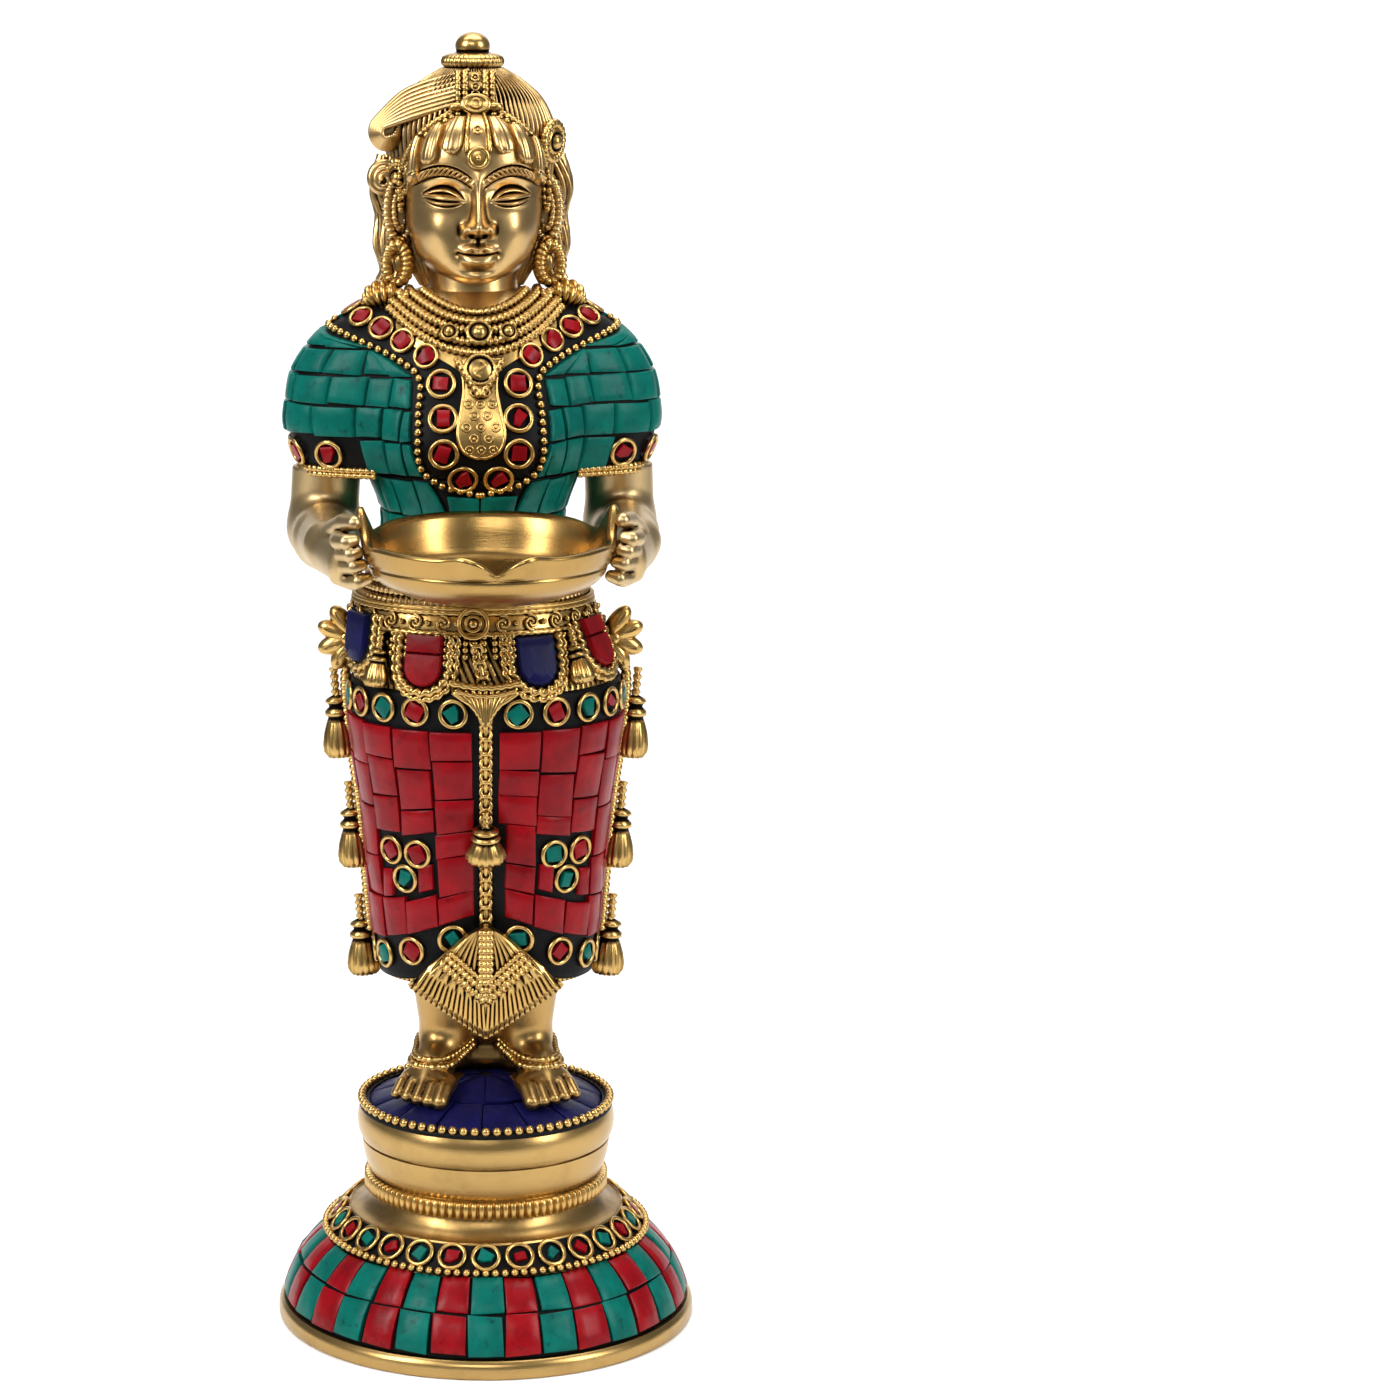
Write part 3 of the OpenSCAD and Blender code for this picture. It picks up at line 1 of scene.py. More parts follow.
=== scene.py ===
import math
import bpy
import bmesh
import numpy as np
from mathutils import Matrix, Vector


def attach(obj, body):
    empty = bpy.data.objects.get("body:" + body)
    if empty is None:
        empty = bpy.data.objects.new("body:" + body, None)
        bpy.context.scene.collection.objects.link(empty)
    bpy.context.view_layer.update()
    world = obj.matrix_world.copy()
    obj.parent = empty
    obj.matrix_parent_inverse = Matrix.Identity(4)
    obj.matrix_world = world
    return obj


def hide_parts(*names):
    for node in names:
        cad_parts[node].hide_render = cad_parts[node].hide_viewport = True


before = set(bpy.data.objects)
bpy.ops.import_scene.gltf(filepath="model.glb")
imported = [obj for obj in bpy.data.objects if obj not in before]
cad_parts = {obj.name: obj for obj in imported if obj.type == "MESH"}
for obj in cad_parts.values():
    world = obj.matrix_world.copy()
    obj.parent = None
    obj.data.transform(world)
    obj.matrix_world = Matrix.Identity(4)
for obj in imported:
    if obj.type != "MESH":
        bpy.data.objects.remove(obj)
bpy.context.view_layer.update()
rng = np.random.default_rng(11)
PI = math.pi

# Heights in millimetres, in the frame of the CAD part
SEAT_Z = 50.5
DRUM_Z = 52.6
SOLE_Z = 58.0
SKIRT_Z = 85.0
LAC_TOP_Z = 156.4
BELT_Z = 169.8
TORSO_Z = 175.0
BOWL_Z = 196.0
YOKE_Z = 202.0
SLEEVE_Z = 206.0
NECK_Z = 247.0
HEAD_Z = 249.5
CROWN_Z = 297.0

# Other sizes in millimetres
LAC = 0.8  # depth of the lac beds
BED = 2.1  # height of the tiles over the brass
TILE_FOOT = 0.5  # where the tiles start, inside the lac
RING_D, WIRE = 7.2, 1.1
BAND = 8.4  # height of a band of wire rings
BOWL_R, BOWL_DEPTH, BOWL_BAND, BOWL_TAPER, REACH = 28.0, 14.0, 5.0, 1.6, 50.7
LEAN, TURN = -3.0, math.radians(4)  # shift and turn of the figure above the hips
TOE_OUT = math.radians(19)

# The least angles of sharp edges, in degrees
CREASE = 55
SHIELD_EDGE = 50
CHIP_EDGE = 40
TURNED_EDGE = 40


# Curves and directions

def ease(t):
    u = np.clip(t, 0, 1)
    return u * u * (3 - 2 * u)


def bell(x, width):
    return np.exp(-(np.asarray(x) / width) ** 2)


def cap(t):
    return np.sqrt(np.clip(1 - np.asarray(t) ** 2, 0, 1))


def curve(x, knots):
    """Smooth curve through (x, y) knots."""
    X, Y = np.array(knots, float).T
    slope = np.empty(len(X))
    slope[1:-1] = (Y[2:] - Y[:-2]) / (X[2:] - X[:-2])
    slope[0] = (Y[1] - Y[0]) / (X[1] - X[0])
    slope[-1] = (Y[-1] - Y[-2]) / (X[-1] - X[-2])
    x = np.clip(np.asarray(x, float), X[0], X[-1])
    i = np.clip(np.searchsorted(X, x, "right") - 1, 0, len(X) - 2)
    w = X[i + 1] - X[i]
    t = (x - X[i]) / w
    return (Y[i] * (2 * t**3 - 3 * t**2 + 1) + slope[i] * w * (t**3 - 2 * t**2 + t)
            + Y[i + 1] * (3 * t**2 - 2 * t**3) + slope[i + 1] * w * (t**3 - t**2))


def unit(v):
    return v / np.maximum(np.linalg.norm(v, axis=-1, keepdims=True), 1e-9)


def vec(x, y, z):
    return np.stack(np.broadcast_arrays(x, y, z), -1)


def cos_sin(degrees):
    return np.cos(np.radians(degrees)), np.sin(np.radians(degrees))


def polar(r, degrees, z):
    c, s = cos_sin(degrees)
    return vec(r * c, r * s, z)


def turn(n):
    return np.arange(n) * 2 * PI / n


def turn_degrees(n):
    return np.arange(n) * 360 / n


def lattice(u, v):
    return np.meshgrid(u, v, indexing="ij")


def lean(V):
    """Turns and shifts points from the upright figure to where it stands."""
    x, y, z = np.moveaxis(np.asarray(V, float), -1, 0)
    c, s = math.cos(TURN), math.sin(TURN)
    return vec(x * c - y * s + LEAN, x * s + y * c, z)


def flip(V):
    return np.asarray(V, float) * [-1, 1, 1]


def path_length(P):
    return np.concatenate([[0], np.cumsum(np.linalg.norm(np.diff(P, axis=0), axis=1))])


def smooth_path(points, n):
    P = np.array(points, float)
    s = path_length(P)
    t = np.linspace(0, s[-1], n)
    return np.stack([curve(t, np.stack([s, P[:, k]], 1)) for k in range(3)], 1)


def even(path, step):
    P = np.asarray(path, float)
    s = path_length(P)
    t = np.linspace(0, s[-1], max(3, int(s[-1] / step) + 1))
    return np.stack([np.interp(t, s, P[:, k]) for k in range(3)], 1)


# Meshes

class Mesh:
    """Vertices, quads and triangles gathered from parts: a (vertices, faces) pair or another Mesh."""

    def __init__(self, *parts):
        self.points, self.quads, self.triangles, self.count = [], [], [], 0
        for part in parts:
            self.add(part)

    def add(self, part):
        if not isinstance(part, Mesh):
            points, faces = part
            part = Mesh()
            part.points = [np.asarray(points, float).reshape(-1, 3)]
            part.count = len(part.points[0])
            (part.quads if faces.shape[1] == 4 else part.triangles).append(faces)
        self.quads.extend(faces + self.count for faces in part.quads)
        self.triangles.extend(faces + self.count for faces in part.triangles)
        self.points.extend(part.points)
        self.count += part.count
        return self

    def moved(self, change):
        copy = Mesh(self)
        copy.points = [change(points) for points in self.points]
        return copy

    def seated(self, O, X, Y, N):
        return self.moved(lambda V: O + V[:, :1] * X + V[:, 1:2] * Y + V[:, 2:] * N)


def both(M):
    return Mesh(M, M.moved(flip))


def grid(V, wrap_u=False, wrap_v=False):
    n, m = V.shape[:2]
    I, J = lattice(np.arange(n if wrap_u else n - 1), np.arange(m if wrap_v else m - 1))
    I1, J1 = (I + 1) % n, (J + 1) % m
    return V.reshape(-1, 3), np.stack([I * m + J, I1 * m + J, I1 * m + J1, I * m + J1], -1).reshape(-1, 4)


def revolve(outline, n=96, flutes=0, depth=0.0):
    """Turns an outline of (radius, z) points about the z axis; flutes wave the radius by depth."""
    p = np.array(outline, float)
    a = turn(n)[:, None]
    r = np.maximum(p[:, 0], 0.01) * (1 + np.asarray(depth) * np.cos(flutes * a))
    return grid(vec(r * np.cos(a), r * np.sin(a), p[:, 1]), True)


def tube(path, radius, sides=10, closed=False, strands=0, pitch=2.2, amp=0.2, ribs=0.0):
    """Tube along a path, twisted like a rope (strands) or ringed (ribs), once per pitch."""
    P = np.asarray(path, float)
    T = unit(np.roll(P, -1, 0) - np.roll(P, 1, 0)) if closed else unit(np.gradient(P, axis=0))
    N = np.zeros_like(P)
    side = np.cross(T[0], [0.31, 0.2, 0.93])
    for i, along in enumerate(T):
        side = unit(side - along * np.dot(side, along))
        N[i] = side
    B = np.cross(T, N)
    s = path_length(P)[:, None]
    length = s[-1, 0] + (np.linalg.norm(P[0] - P[-1]) if closed else 0)
    phase = PI * max(1, round(length / pitch)) * s / length
    a = turn(sides)
    r = np.broadcast_to(np.asarray(radius, float), (len(P),))[:, None] * np.ones(sides)
    if strands:
        r = r * (1 + amp * np.cos(strands * a + 2 * phase))
    if ribs:
        r = r * (1 - ribs + ribs * 2 * np.abs(np.sin(phase)) ** 0.7)
    V = P[:, None] + r[..., None] * (np.cos(a)[:, None] * N[:, None] + np.sin(a)[:, None] * B[:, None])
    if not closed:
        first, last = (0.98 * P[k] + 0.02 * V[k] for k in (0, -1))
        V = np.concatenate([[first], V, [last]])
    return grid(V, closed, True)


def rope(path, radius, step=0.34, sides=8, strands=2, pitch=2.0, amp=0.22):
    return tube(even(path, step), radius, sides, strands=strands, pitch=pitch, amp=amp)


def cord(path, radius, sides=8, step=0.3, ribs=0.3, pitch=1.5):
    return tube(even(path, step), radius, sides, ribs=ribs, pitch=pitch)


def torus(R, r, around=30, sides=9, ribs=0, amp=0.0):
    a, b = turn(around)[:, None], turn(sides)
    k = r * (1 + amp * (np.abs(np.cos(ribs * a / 2)) * 2 - 1))
    x = R + k * np.cos(b)
    return grid(vec(x * np.cos(a), x * np.sin(a), k * np.sin(b)), True, True)


def ball(splits):
    """Unit ball: an icosahedron with its faces split in four, a few times."""
    g = (1 + 5**0.5) / 2
    V = [unit(np.array(v, float)) for v in (
        (-1, g, 0), (1, g, 0), (-1, -g, 0), (1, -g, 0), (0, -1, g), (0, 1, g),
        (0, -1, -g), (0, 1, -g), (g, 0, -1), (g, 0, 1), (-g, 0, -1), (-g, 0, 1))]
    F = [(0, 11, 5), (0, 5, 1), (0, 1, 7), (0, 7, 10), (0, 10, 11), (1, 5, 9), (5, 11, 4), (11, 10, 2),
         (10, 7, 6), (7, 1, 8), (3, 9, 4), (3, 4, 2), (3, 2, 6), (3, 6, 8), (3, 8, 9), (4, 9, 5),
         (2, 4, 11), (6, 2, 10), (8, 6, 7), (9, 8, 1)]
    for _ in range(splits):
        middles, parts = {}, []

        def middle(a, b):
            key = (min(a, b), max(a, b))
            if key not in middles:
                middles[key] = len(V)
                V.append(unit(V[a] + V[b]))
            return middles[key]
        for a, b, c in F:
            x, y, z = middle(a, b), middle(b, c), middle(c, a)
            parts += [(a, x, z), (b, y, x), (c, z, y), (x, y, z)]
        F = parts
    return np.array(V), np.array(F)


BALL, BALL2 = ball(1), ball(2)


def place(template, O, X=(1, 0, 0), Y=(0, 1, 0), Z=(0, 0, 1), size=1.0):
    """Copies of a template at points O, along the axes X, Y and Z there."""
    V, F = template
    O = np.atleast_2d(np.asarray(O, float))
    W = V * np.broadcast_to(np.asarray(size, float), (len(O), 3))[:, None]
    P = O[:, None]
    for k, axis in enumerate((X, Y, Z)):
        P = P + W[..., k:k + 1] * np.atleast_2d(axis)[:, None]
    return P.reshape(-1, 3), (F + np.arange(len(O))[:, None, None] * len(V)).reshape(-1, F.shape[1])


def lump(O, size, *axes):
    return place(BALL2, O, *axes, size=size)


def beads(P, d, template=BALL):
    return place(template, P, size=d / 2)


def seat(surface, a, z, d):
    """Points on a surface, with the directions along it, up it and out of it."""
    a, z = np.atleast_1d(np.asarray(a, float)), np.atleast_1d(np.asarray(z, float))
    X = unit(surface(a + 0.5, z, d) - surface(a - 0.5, z, d))
    N = unit(np.cross(X, surface(a, z + 0.3, d) - surface(a, z - 0.3, d)))
    return surface(a, z, d), X, np.cross(N, X), N


def spot(surface, a, z, d):
    return [e[0] for e in seat(surface, a, z, d)]


def corners(u0, u1, v0, v1, loose_u, loose_v):
    loose = rng.uniform(-1, 1, (4, 2)) * [loose_u, loose_v]
    return np.array([[u0, v0], [u1, v0], [u1, v1], [u0, v1]]) + loose


def tile(surface, outline, top, tilt, n=4, edge=0.05, chamfer=0.2):
    """A stone tile with broken edges between four (u, v) corners on a surface."""
    p = np.concatenate([[0, 0], np.linspace(edge, 1 - edge, n), [1, 1]])
    level = np.concatenate([[0, 1], np.full(n, 2), [1, 0]])
    S, T = lattice(p, p)
    level = np.minimum(*lattice(level, level))
    weights = [(1 - S) * (1 - T), S * (1 - T), S * T, (1 - S) * T]
    U, W = (sum(w * c for w, c in zip(weights, outline[:, k])) for k in (0, 1))
    k = rng.normal(0, tilt, 3)
    high = top + k[0] * (S - 0.5) + k[1] * (T - 0.5) + k[2] * 0.5
    return grid(surface(U, W, np.choose(level, [TILE_FOOT, high - chamfer, high])))


def chip(sides, w, h):
    """A small sawn stone chip: four-sided, or with one corner off."""
    c = np.array([[-1, -1], [1, -1], [1, 1], [-1, 1]]) * 0.5 * w * np.array([1, rng.uniform(0.7, 1.0)])
    c = c + rng.normal(0, 0.04 * w, (4, 2))
    if sides == 5:
        c = np.vstack([c[:3], 0.6 * c[2] + 0.4 * c[3], 0.55 * c[3] + 0.45 * c[0]])
    rows = ((1.02, -0.3), (1, h * 0.86), (0.9, h), (0.02, h * 1.03))
    return grid(np.stack([vec(c[:, 0] * s, c[:, 1] * s, z) for s, z in rows], 1), True)


def chips(seats, w, h):
    M = Mesh()
    for O, X, Y, N in seats:
        sides = 4 if rng.random() < 0.7 else 5
        template = chip(sides, w * rng.uniform(0.9, 1.12), h)
        k = rng.uniform(0, PI)
        M.add(place(template, O, X * math.cos(k) + Y * math.sin(k), Y * math.cos(k) - X * math.sin(k), N))
    return M


def plate(surface, us, vs, low, high, nu, nv):
    """A plate over a stretch of a surface, its edges turned down to low."""
    U, W = lattice(np.pad(np.linspace(*us, nu), 1, "edge"), np.pad(np.linspace(*vs, nv), 1, "edge"))
    D = np.full(U.shape, low)
    D[1:-1, 1:-1] = high
    return grid(surface(U, W, D))


# Distance fields for the hands and feet

def blend(a, b, k):
    h = np.clip(0.5 + 0.5 * (b - a) / k, 0, 1)
    return b + (a - b) * h - k * h * (1 - h)


def cone(P, a, b, ra, rb):
    """Distance to a round-ended cone from a to b."""
    a, b = np.array(a, np.float32), np.array(b, np.float32)
    Q = P - a
    t = np.clip((Q @ (b - a)) / max(float((b - a) @ (b - a)), 1e-6), 0, 1)
    return np.linalg.norm(Q - t[..., None] * (b - a), axis=-1) - (ra + (rb - ra) * t)


def nets(field, low, high, cell):
    """Quads over the zero surface of a field, one vertex in each cell that it crosses."""
    axes = [np.arange(low[k], high[k] + cell, cell, dtype=np.float32) for k in range(3)]
    D = field(np.stack(np.meshgrid(*axes, indexing="ij"), -1))
    inside = D < 0
    size = np.array(inside.shape)
    steps = np.array([(i, j, k) for i in (0, 1) for j in (0, 1) for k in (0, 1)])
    count = sum(inside[tuple(slice(o, n - 1 + o) for o, n in zip(step, size))].astype(int) for step in steps)
    cells = np.argwhere((count > 0) & (count < 8))
    index = -np.ones(count.shape, int)
    index[tuple(cells.T)] = np.arange(len(cells))
    value = np.stack([D[tuple((cells + step).T)] for step in steps], 1)
    total, hits = np.zeros((len(cells), 3)), np.zeros((len(cells), 1))
    for a in range(8):
        for b in range(a + 1, 8):
            if np.abs(steps[a] - steps[b]).sum() == 1:
                cut = (value[:, a] < 0) != (value[:, b] < 0)
                t = value[cut, a] / (value[cut, a] - value[cut, b])
                total[cut] += steps[a] + (steps[b] - steps[a]) * t[:, None]
                hits[cut] += 1
    V = (cells + total / hits) * cell + np.array([axis[0] for axis in axes])
    faces = []
    for k in range(3):
        along, one, two = np.roll(np.eye(3, dtype=int), -k, 0)
        before = inside[tuple(slice(0, n - e) for n, e in zip(size, along))]
        after = inside[tuple(slice(e, n) for n, e in zip(size, along))]
        E = np.argwhere(before != after)
        sides = [(k + 1) % 3, (k + 2) % 3]
        E = E[((E[:, sides] > 0) & (E[:, sides] < size[sides] - 1)).all(1)]
        quads = np.stack([index[tuple((E - o).T)] for o in (0 * one, one, one + two, two)], 1)
        outside = ~inside[tuple(E.T)]
        quads[outside] = quads[outside][:, ::-1]
        faces.append(quads[(quads >= 0).all(1)])
    return V, np.concatenate(faces)


# The surfaces of the figure, as in the CAD source

SKIRT_W = [[0, 49], [39, 55.5], [69, 62], [90, 53]]
SKIRT_D = [[0, 38], [39, 46], [69, 54], [90, 44]]
TORSO_W = [[0, 53], [17.05, 39], [31, 46.1], [44, 53], [60, 49.3], [69, 31], [72, 23]]
TORSO_FRONT = [[0, 22], [17.05, 20], [37, 26], [54, 22.1], [66, 16.7], [72, 11.5]]
TORSO_BACK = [[0, 22], [17.05, 19], [39, 22], [58, 20.2], [67, 15.5], [72, 11.5]]
SLEEVES = [[0, 1.02], [0.22, 1.06], [0.39, 1], [0.54, 0.92], [0.71, 0.77], [0.85, 0.64], [0.95, 0.44],
           [1, 0.02]]


def on_skirt(a, z, d):
    h = z - SKIRT_Z
    c, s = cos_sin(a)
    x = (curve(h, SKIRT_W) / 2 + d) * c
    dip = 5 * (1 - ease(h / 69)) * bell(x, 7)
    y = (curve(h, SKIRT_D) / 2 + d - dip) * s
    return vec(x + LEAN * ease((h - 69) / 21), y, z)


def ellipse(c, s, w, b):
    return 1 / np.sqrt((c / w) ** 2 + (s / b) ** 2)


def torso_r(a, z):
    h = z - TORSO_Z
    c, s = cos_sin(a)
    r = ellipse(c, s, curve(h, TORSO_W) / 2, np.where(s < 0, curve(h, TORSO_FRONT), curve(h, TORSO_BACK)))
    side = np.degrees(np.arcsin(np.clip(np.abs(s), 0, 1)))
    sleeve = np.where(h < 31, 0, 15 * curve((h - 31) / 41, SLEEVES) * np.exp(-(side / 25) ** 2.5))
    bust = np.where(s > 0, 0, 3.2 * bell(h - 38, 9) * bell(np.abs(r * c) - 11, 8))
    return r + sleeve + bust


def on_torso(a, z, d):
    return polar(torso_r(a, z) + d, a, z)


def front_angle(x, z):
    """The angle at which the front of the torso has a given x."""
    x, z = np.broadcast_arrays(np.asarray(x, float), np.asarray(z, float))
    low, high = np.full(x.shape, -180.0), np.zeros(x.shape)
    for _ in range(22):
        middle = (low + high) / 2
        left = torso_r(middle, z) * np.cos(np.radians(middle)) < x
        low, high = np.where(left, middle, low), np.where(left, high, middle)
    return (low + high) / 2


def on_front(x, z, d):
    return on_torso(front_angle(x, z), z, d)


FACE_HALF, FACE_DEEP, HAIR_HALF = 15.6, 17.0, 19.5
FACE_W = [[-1.6, 0.06], [-0.6, 0.26], [0.4, 0.43], [1.6, 0.6], [3.4, 0.735], [6, 0.85], [10, 0.95], [15, 1],
          [21, 0.995], [27, 0.985], [31, 0.93], [34, 0.82], [36.5, 0.62], [38.2, 0.38], [39, 0.12]]
FACE_D = [[-1.6, 0.42], [-0.6, 0.7], [0.4, 0.85], [1.6, 0.935], [3.4, 0.97], [6, 0.985], [10, 0.985],
          [16, 0.975], [21, 0.985], [26, 1.0], [30, 0.985], [33, 0.92], [35.5, 0.8], [37.5, 0.6],
          [39, 0.3]]
NOSE = [[10.1, 0], [10.7, 1.5], [11.5, 3.5], [12.7, 4.7], [14.3, 3.9], [17, 2.7], [20, 1.7], [23, 1.1],
        [25.5, 0.35], [27, 0]]
NOSE_W = [[10.8, 2.0], [12.6, 1.9], [14.8, 1.3], [19, 1.1], [23, 1.5], [26, 2.4]]
HAIR_W = [[-4, 0.56], [4, 0.79], [14, 0.92], [24, 0.985], [31, 1], [36, 0.95], [41, 0.81], [45, 0.57],
          [47.5, 0.36]]
HAIR_FRONT = [[-4, 6], [14, 9], [24, 11.5], [29, 13], [33, 14.2], [38, 13.8], [43, 11.6], [47.5, 6.6]]
HAIR_BACK = [[-4, 8], [10, 12.5], [25, 15.5], [36, 15.5], [43, 11.6], [47.5, 6.6]]


def features(x, h):
    """Relief of the face, at x from its middle and h over the chin."""
    ax = np.abs(x)

    def within(width):
        return np.clip(1 - (ax / width) ** 2, 0, 1)
    # nose, its wings and nostrils
    g = curve(h, NOSE) * bell(x, curve(h, NOSE_W))
    g = g + 2.0 * bell(ax - 2.9, 1.1) * bell(h - 11.9, 1.2) - 0.55 * bell(ax - 4.3, 0.7) * bell(h - 11.9, 1.5)
    g = g - 1.5 * bell(ax - 1.45, 0.66) * bell(h - 10.7, 0.45) - 0.4 * bell(x, 0.6) * bell(h - 9.3, 0.9)
    # lips, the line between them and their corners
    g = g + 1.5 * bell(h - 7.6 - 0.4 * bell(ax - 1.2, 0.9), 0.8) * within(4.7)
    g = g + 2.3 * bell(h - 4.8 - 0.03 * ax**2, 1.15) * within(4.3) + 1.1 * bell(h - 6.3, 0.85) * within(4.3)
    g = g - 0.95 * bell(h - 6.4 - 0.025 * ax**2, 0.24) * within(4.7) ** 0.5
    g = g - 0.4 * bell(ax - 4.8, 0.6) * bell(h - 6.6, 0.7) - 0.4 * bell(h - 2.8, 0.8) * bell(x, 3.2)
    # chin, cheeks, eye sockets and eyeballs
    g = g + 1.1 * bell(h - 0.8, 1.6) * bell(x, 3.6) + 0.8 * bell(ax - 9.0, 3.6) * bell(h - 12, 4.2)
    g = g - 2.5 * bell(ax - 7.2, 4.2) * bell(h - 20.2, 2.3) + 2.3 * bell(ax - 7.7, 3.6) * bell(h - 18.9, 1.8)
    # eyelids: height, place and width of each fold
    e = ax - 7.8
    lens = np.clip(1 - (e / 4.9) ** 2, 0, 1)
    level = h - 18.8 - 0.1 * e
    for high, at, lift, width in ((-0.9, 2.5, 0.35, 0.3), (0.6, 1.9, 0, 0.42), (-0.6, 1.3, 0, 0.2),
                                  (0.7, 0.55, 0, 0.6), (-0.95, -0.35, 0, 0.22), (0.5, -0.95, 0, 0.34),
                                  (-0.5, -1.6, 0, 0.26)):
        g = g + high * lens**0.5 * bell(level - at * lens - lift, width)
    # brows with their slanting hairs
    t = (ax - 8.0) / 7.0
    brow = h - 22.0 - 3.1 * (1 - t**2)
    on = np.clip(1 - t**2, 0, 1) ** 0.4
    hairs = 0.5 + 0.34 * np.sin(2 * PI * (ax + 0.8 * brow) / 1.05)
    g = g + on / (1 + np.exp((np.abs(brow) - 0.85) / 0.1)) * hairs
    return g - 0.45 * on * bell(np.abs(brow) - 1.2, 0.25)


def on_face(a, h, d):
    c, s = cos_sin(a)
    half = curve(h, FACE_W) * FACE_HALF
    deep = curve(h, FACE_D) * np.where(s < 0, FACE_DEEP, FACE_DEEP * 0.7)
    p = 2.25
    r = (np.abs(c / half) ** p + np.abs(s / deep) ** p) ** (-1 / p)
    r = r + np.where(s < 0, features(r * c, h) * ease(-1.6 * s), 0) + d
    return vec(r * c, -1.5 + r * s, HEAD_Z + h)


def on_hair(a, h, d):
    c, s = cos_sin(a)
    deep = np.where(s < 0, curve(h, HAIR_FRONT), curve(h, HAIR_BACK))
    r = ellipse(c, s, curve(h, HAIR_W) * HAIR_HALF + d, deep + d)
    return vec(r * c, 4 * (1 - ease((h - 40) / 8)) + r * s, HEAD_Z + h)


def bowl_out(e):
    """Outer radius of the bowl at a depth e below its rim."""
    e = np.asarray(e, float)
    low = (BOWL_R - BOWL_TAPER) * cap(np.clip(e - BOWL_BAND, 0, None) / (BOWL_DEPTH - BOWL_BAND))
    return np.where(e < BOWL_BAND, BOWL_R - BOWL_TAPER * e / BOWL_BAND, low)


# Materials

def shader(name):
    made = bpy.data.materials.new(name)
    made.use_nodes = True
    return made, made.node_tree.nodes["Principled BSDF"]


def feed(made, node, inputs):
    """Gives the inputs of a node a value each, or links them to another node's output."""
    for socket, value in inputs.items():
        if isinstance(value, bpy.types.NodeSocket):
            made.node_tree.links.new(value, node.inputs[socket])
        else:
            node.inputs[socket].default_value = value


def add_node(made, kind, inputs, output=0, **settings):
    node = made.node_tree.nodes.new("ShaderNode" + kind)
    for key, value in settings.items():
        setattr(node, key, value)
    feed(made, node, inputs)
    return node.outputs[output]


def ramp(made, factor, stops):
    node = made.node_tree.nodes.new("ShaderNodeValToRGB")
    elements = node.color_ramp.elements
    for element, (place_at, color) in zip(elements, (stops[0], stops[-1])):
        element.position, element.color = place_at, (*color, 1)
    for place_at, color in stops[1:-1]:
        elements.new(place_at).color = (*color, 1)
    feed(made, node, {"Fac": factor})
    return node.outputs["Color"]


def noise(made, scale, detail=4, rough=0.55, stretch=None):
    where = add_node(made, "TexCoord", {}, "Object")
    if stretch:
        where = add_node(made, "Mapping", {"Vector": where, "Scale": stretch}, "Vector")
    inputs = {"Scale": scale, "Detail": detail, "Roughness": rough, "Vector": where}
    return add_node(made, "TexNoise", inputs, "Fac")


def bump(made, height, strength, distance):
    return add_node(made, "Bump", {"Strength": strength, "Distance": distance, "Height": height}, "Normal")


def multiply_add(made, value, factor, more):
    return add_node(made, "Math", {0: value, 1: factor, 2: more}, operation="MULTIPLY_ADD")


def brass(name, bright=(0.55, 0.35, 0.115), mid=(0.17, 0.092, 0.028), rough=0.28, brushed=False,
          patina_and_shade=1.0, smudge=0.34, spots=260):
    """Brass that is bright where it is rubbed, and brown and dull in the recesses: the cavity value darkens
    it both as real patina in hollows and as painted shade where other surface crowds in front.
    """
    made, surface = shader(name)
    cavity = add_node(made, "Attribute", {}, "Fac", attribute_name="cavity")
    # cavity: real patina in hollows plus painted shade between and under parts, scaled here
    recess = multiply_add(made, cavity, patina_and_shade, -smudge / 2)
    dirt_patina_and_shade = multiply_add(made, noise(made, spots, 5, 0.6), smudge, recess)
    worn = tuple(0.6 * x + 0.4 * y for x, y in zip(bright, mid))
    dull = [(0.1, (rough,) * 3), (0.55, (rough + 0.12,) * 3), (0.95, (0.72,) * 3)]
    grain = noise(made, 900, 3, stretch=(0.12, 0.12, 4.0) if brushed else None)
    # the colour ramp runs from bright rubbed brass to near black with the patina, the painted shade and
    # random smudges
    feed(made, surface, {
        "Base Color": ramp(made, dirt_patina_and_shade, [(0.0, bright), (0.24, worn), (0.41, mid),
                                        (0.64, (0.007, 0.004, 0.003))]),
        "Roughness": ramp(made, dirt_patina_and_shade, dull), "Metallic": 1.0, "Normal": bump(made, grain, 0.16, 0.0002)})
    return made


def stone(name, dark, mid, light, scale, rough, vein=None, shine=0.09):
    """Cloudy stone, with darker veins if asked."""
    made, surface = shader(name)
    cloud = add_node(made, "Math", {0: noise(made, scale, 6, 0.62), 1: 0.6}, operation="MULTIPLY")
    color = ramp(made, cloud, [(0.2, dark), (0.55, mid), (0.9, light)])
    if vein:
        streak = ramp(made, noise(made, scale * 2.2, 8, 0.7), [(0.56, (0, 0, 0)), (0.68, (1, 1, 1))])
        inputs = {"Factor": streak, "A": color, "B": (*vein, 1)}
        color = add_node(made, "Mix", inputs, "Result", data_type="RGBA")
    feed(made, surface, {"Base Color": color, "Roughness": rough, "Specular IOR Level": shine,
                         "Normal": bump(made, noise(made, 500), 0.22, 0.0003)})
    return made


def mottled(name, dark, light, scale, span, inputs):
    """Two shades of one colour, for the steel fixings and the floor."""
    made, surface = shader(name)
    color = ramp(made, noise(made, scale), [(span[0], dark), (span[1], light)])
    feed(made, surface, {"Base Color": color, **inputs})
    return made


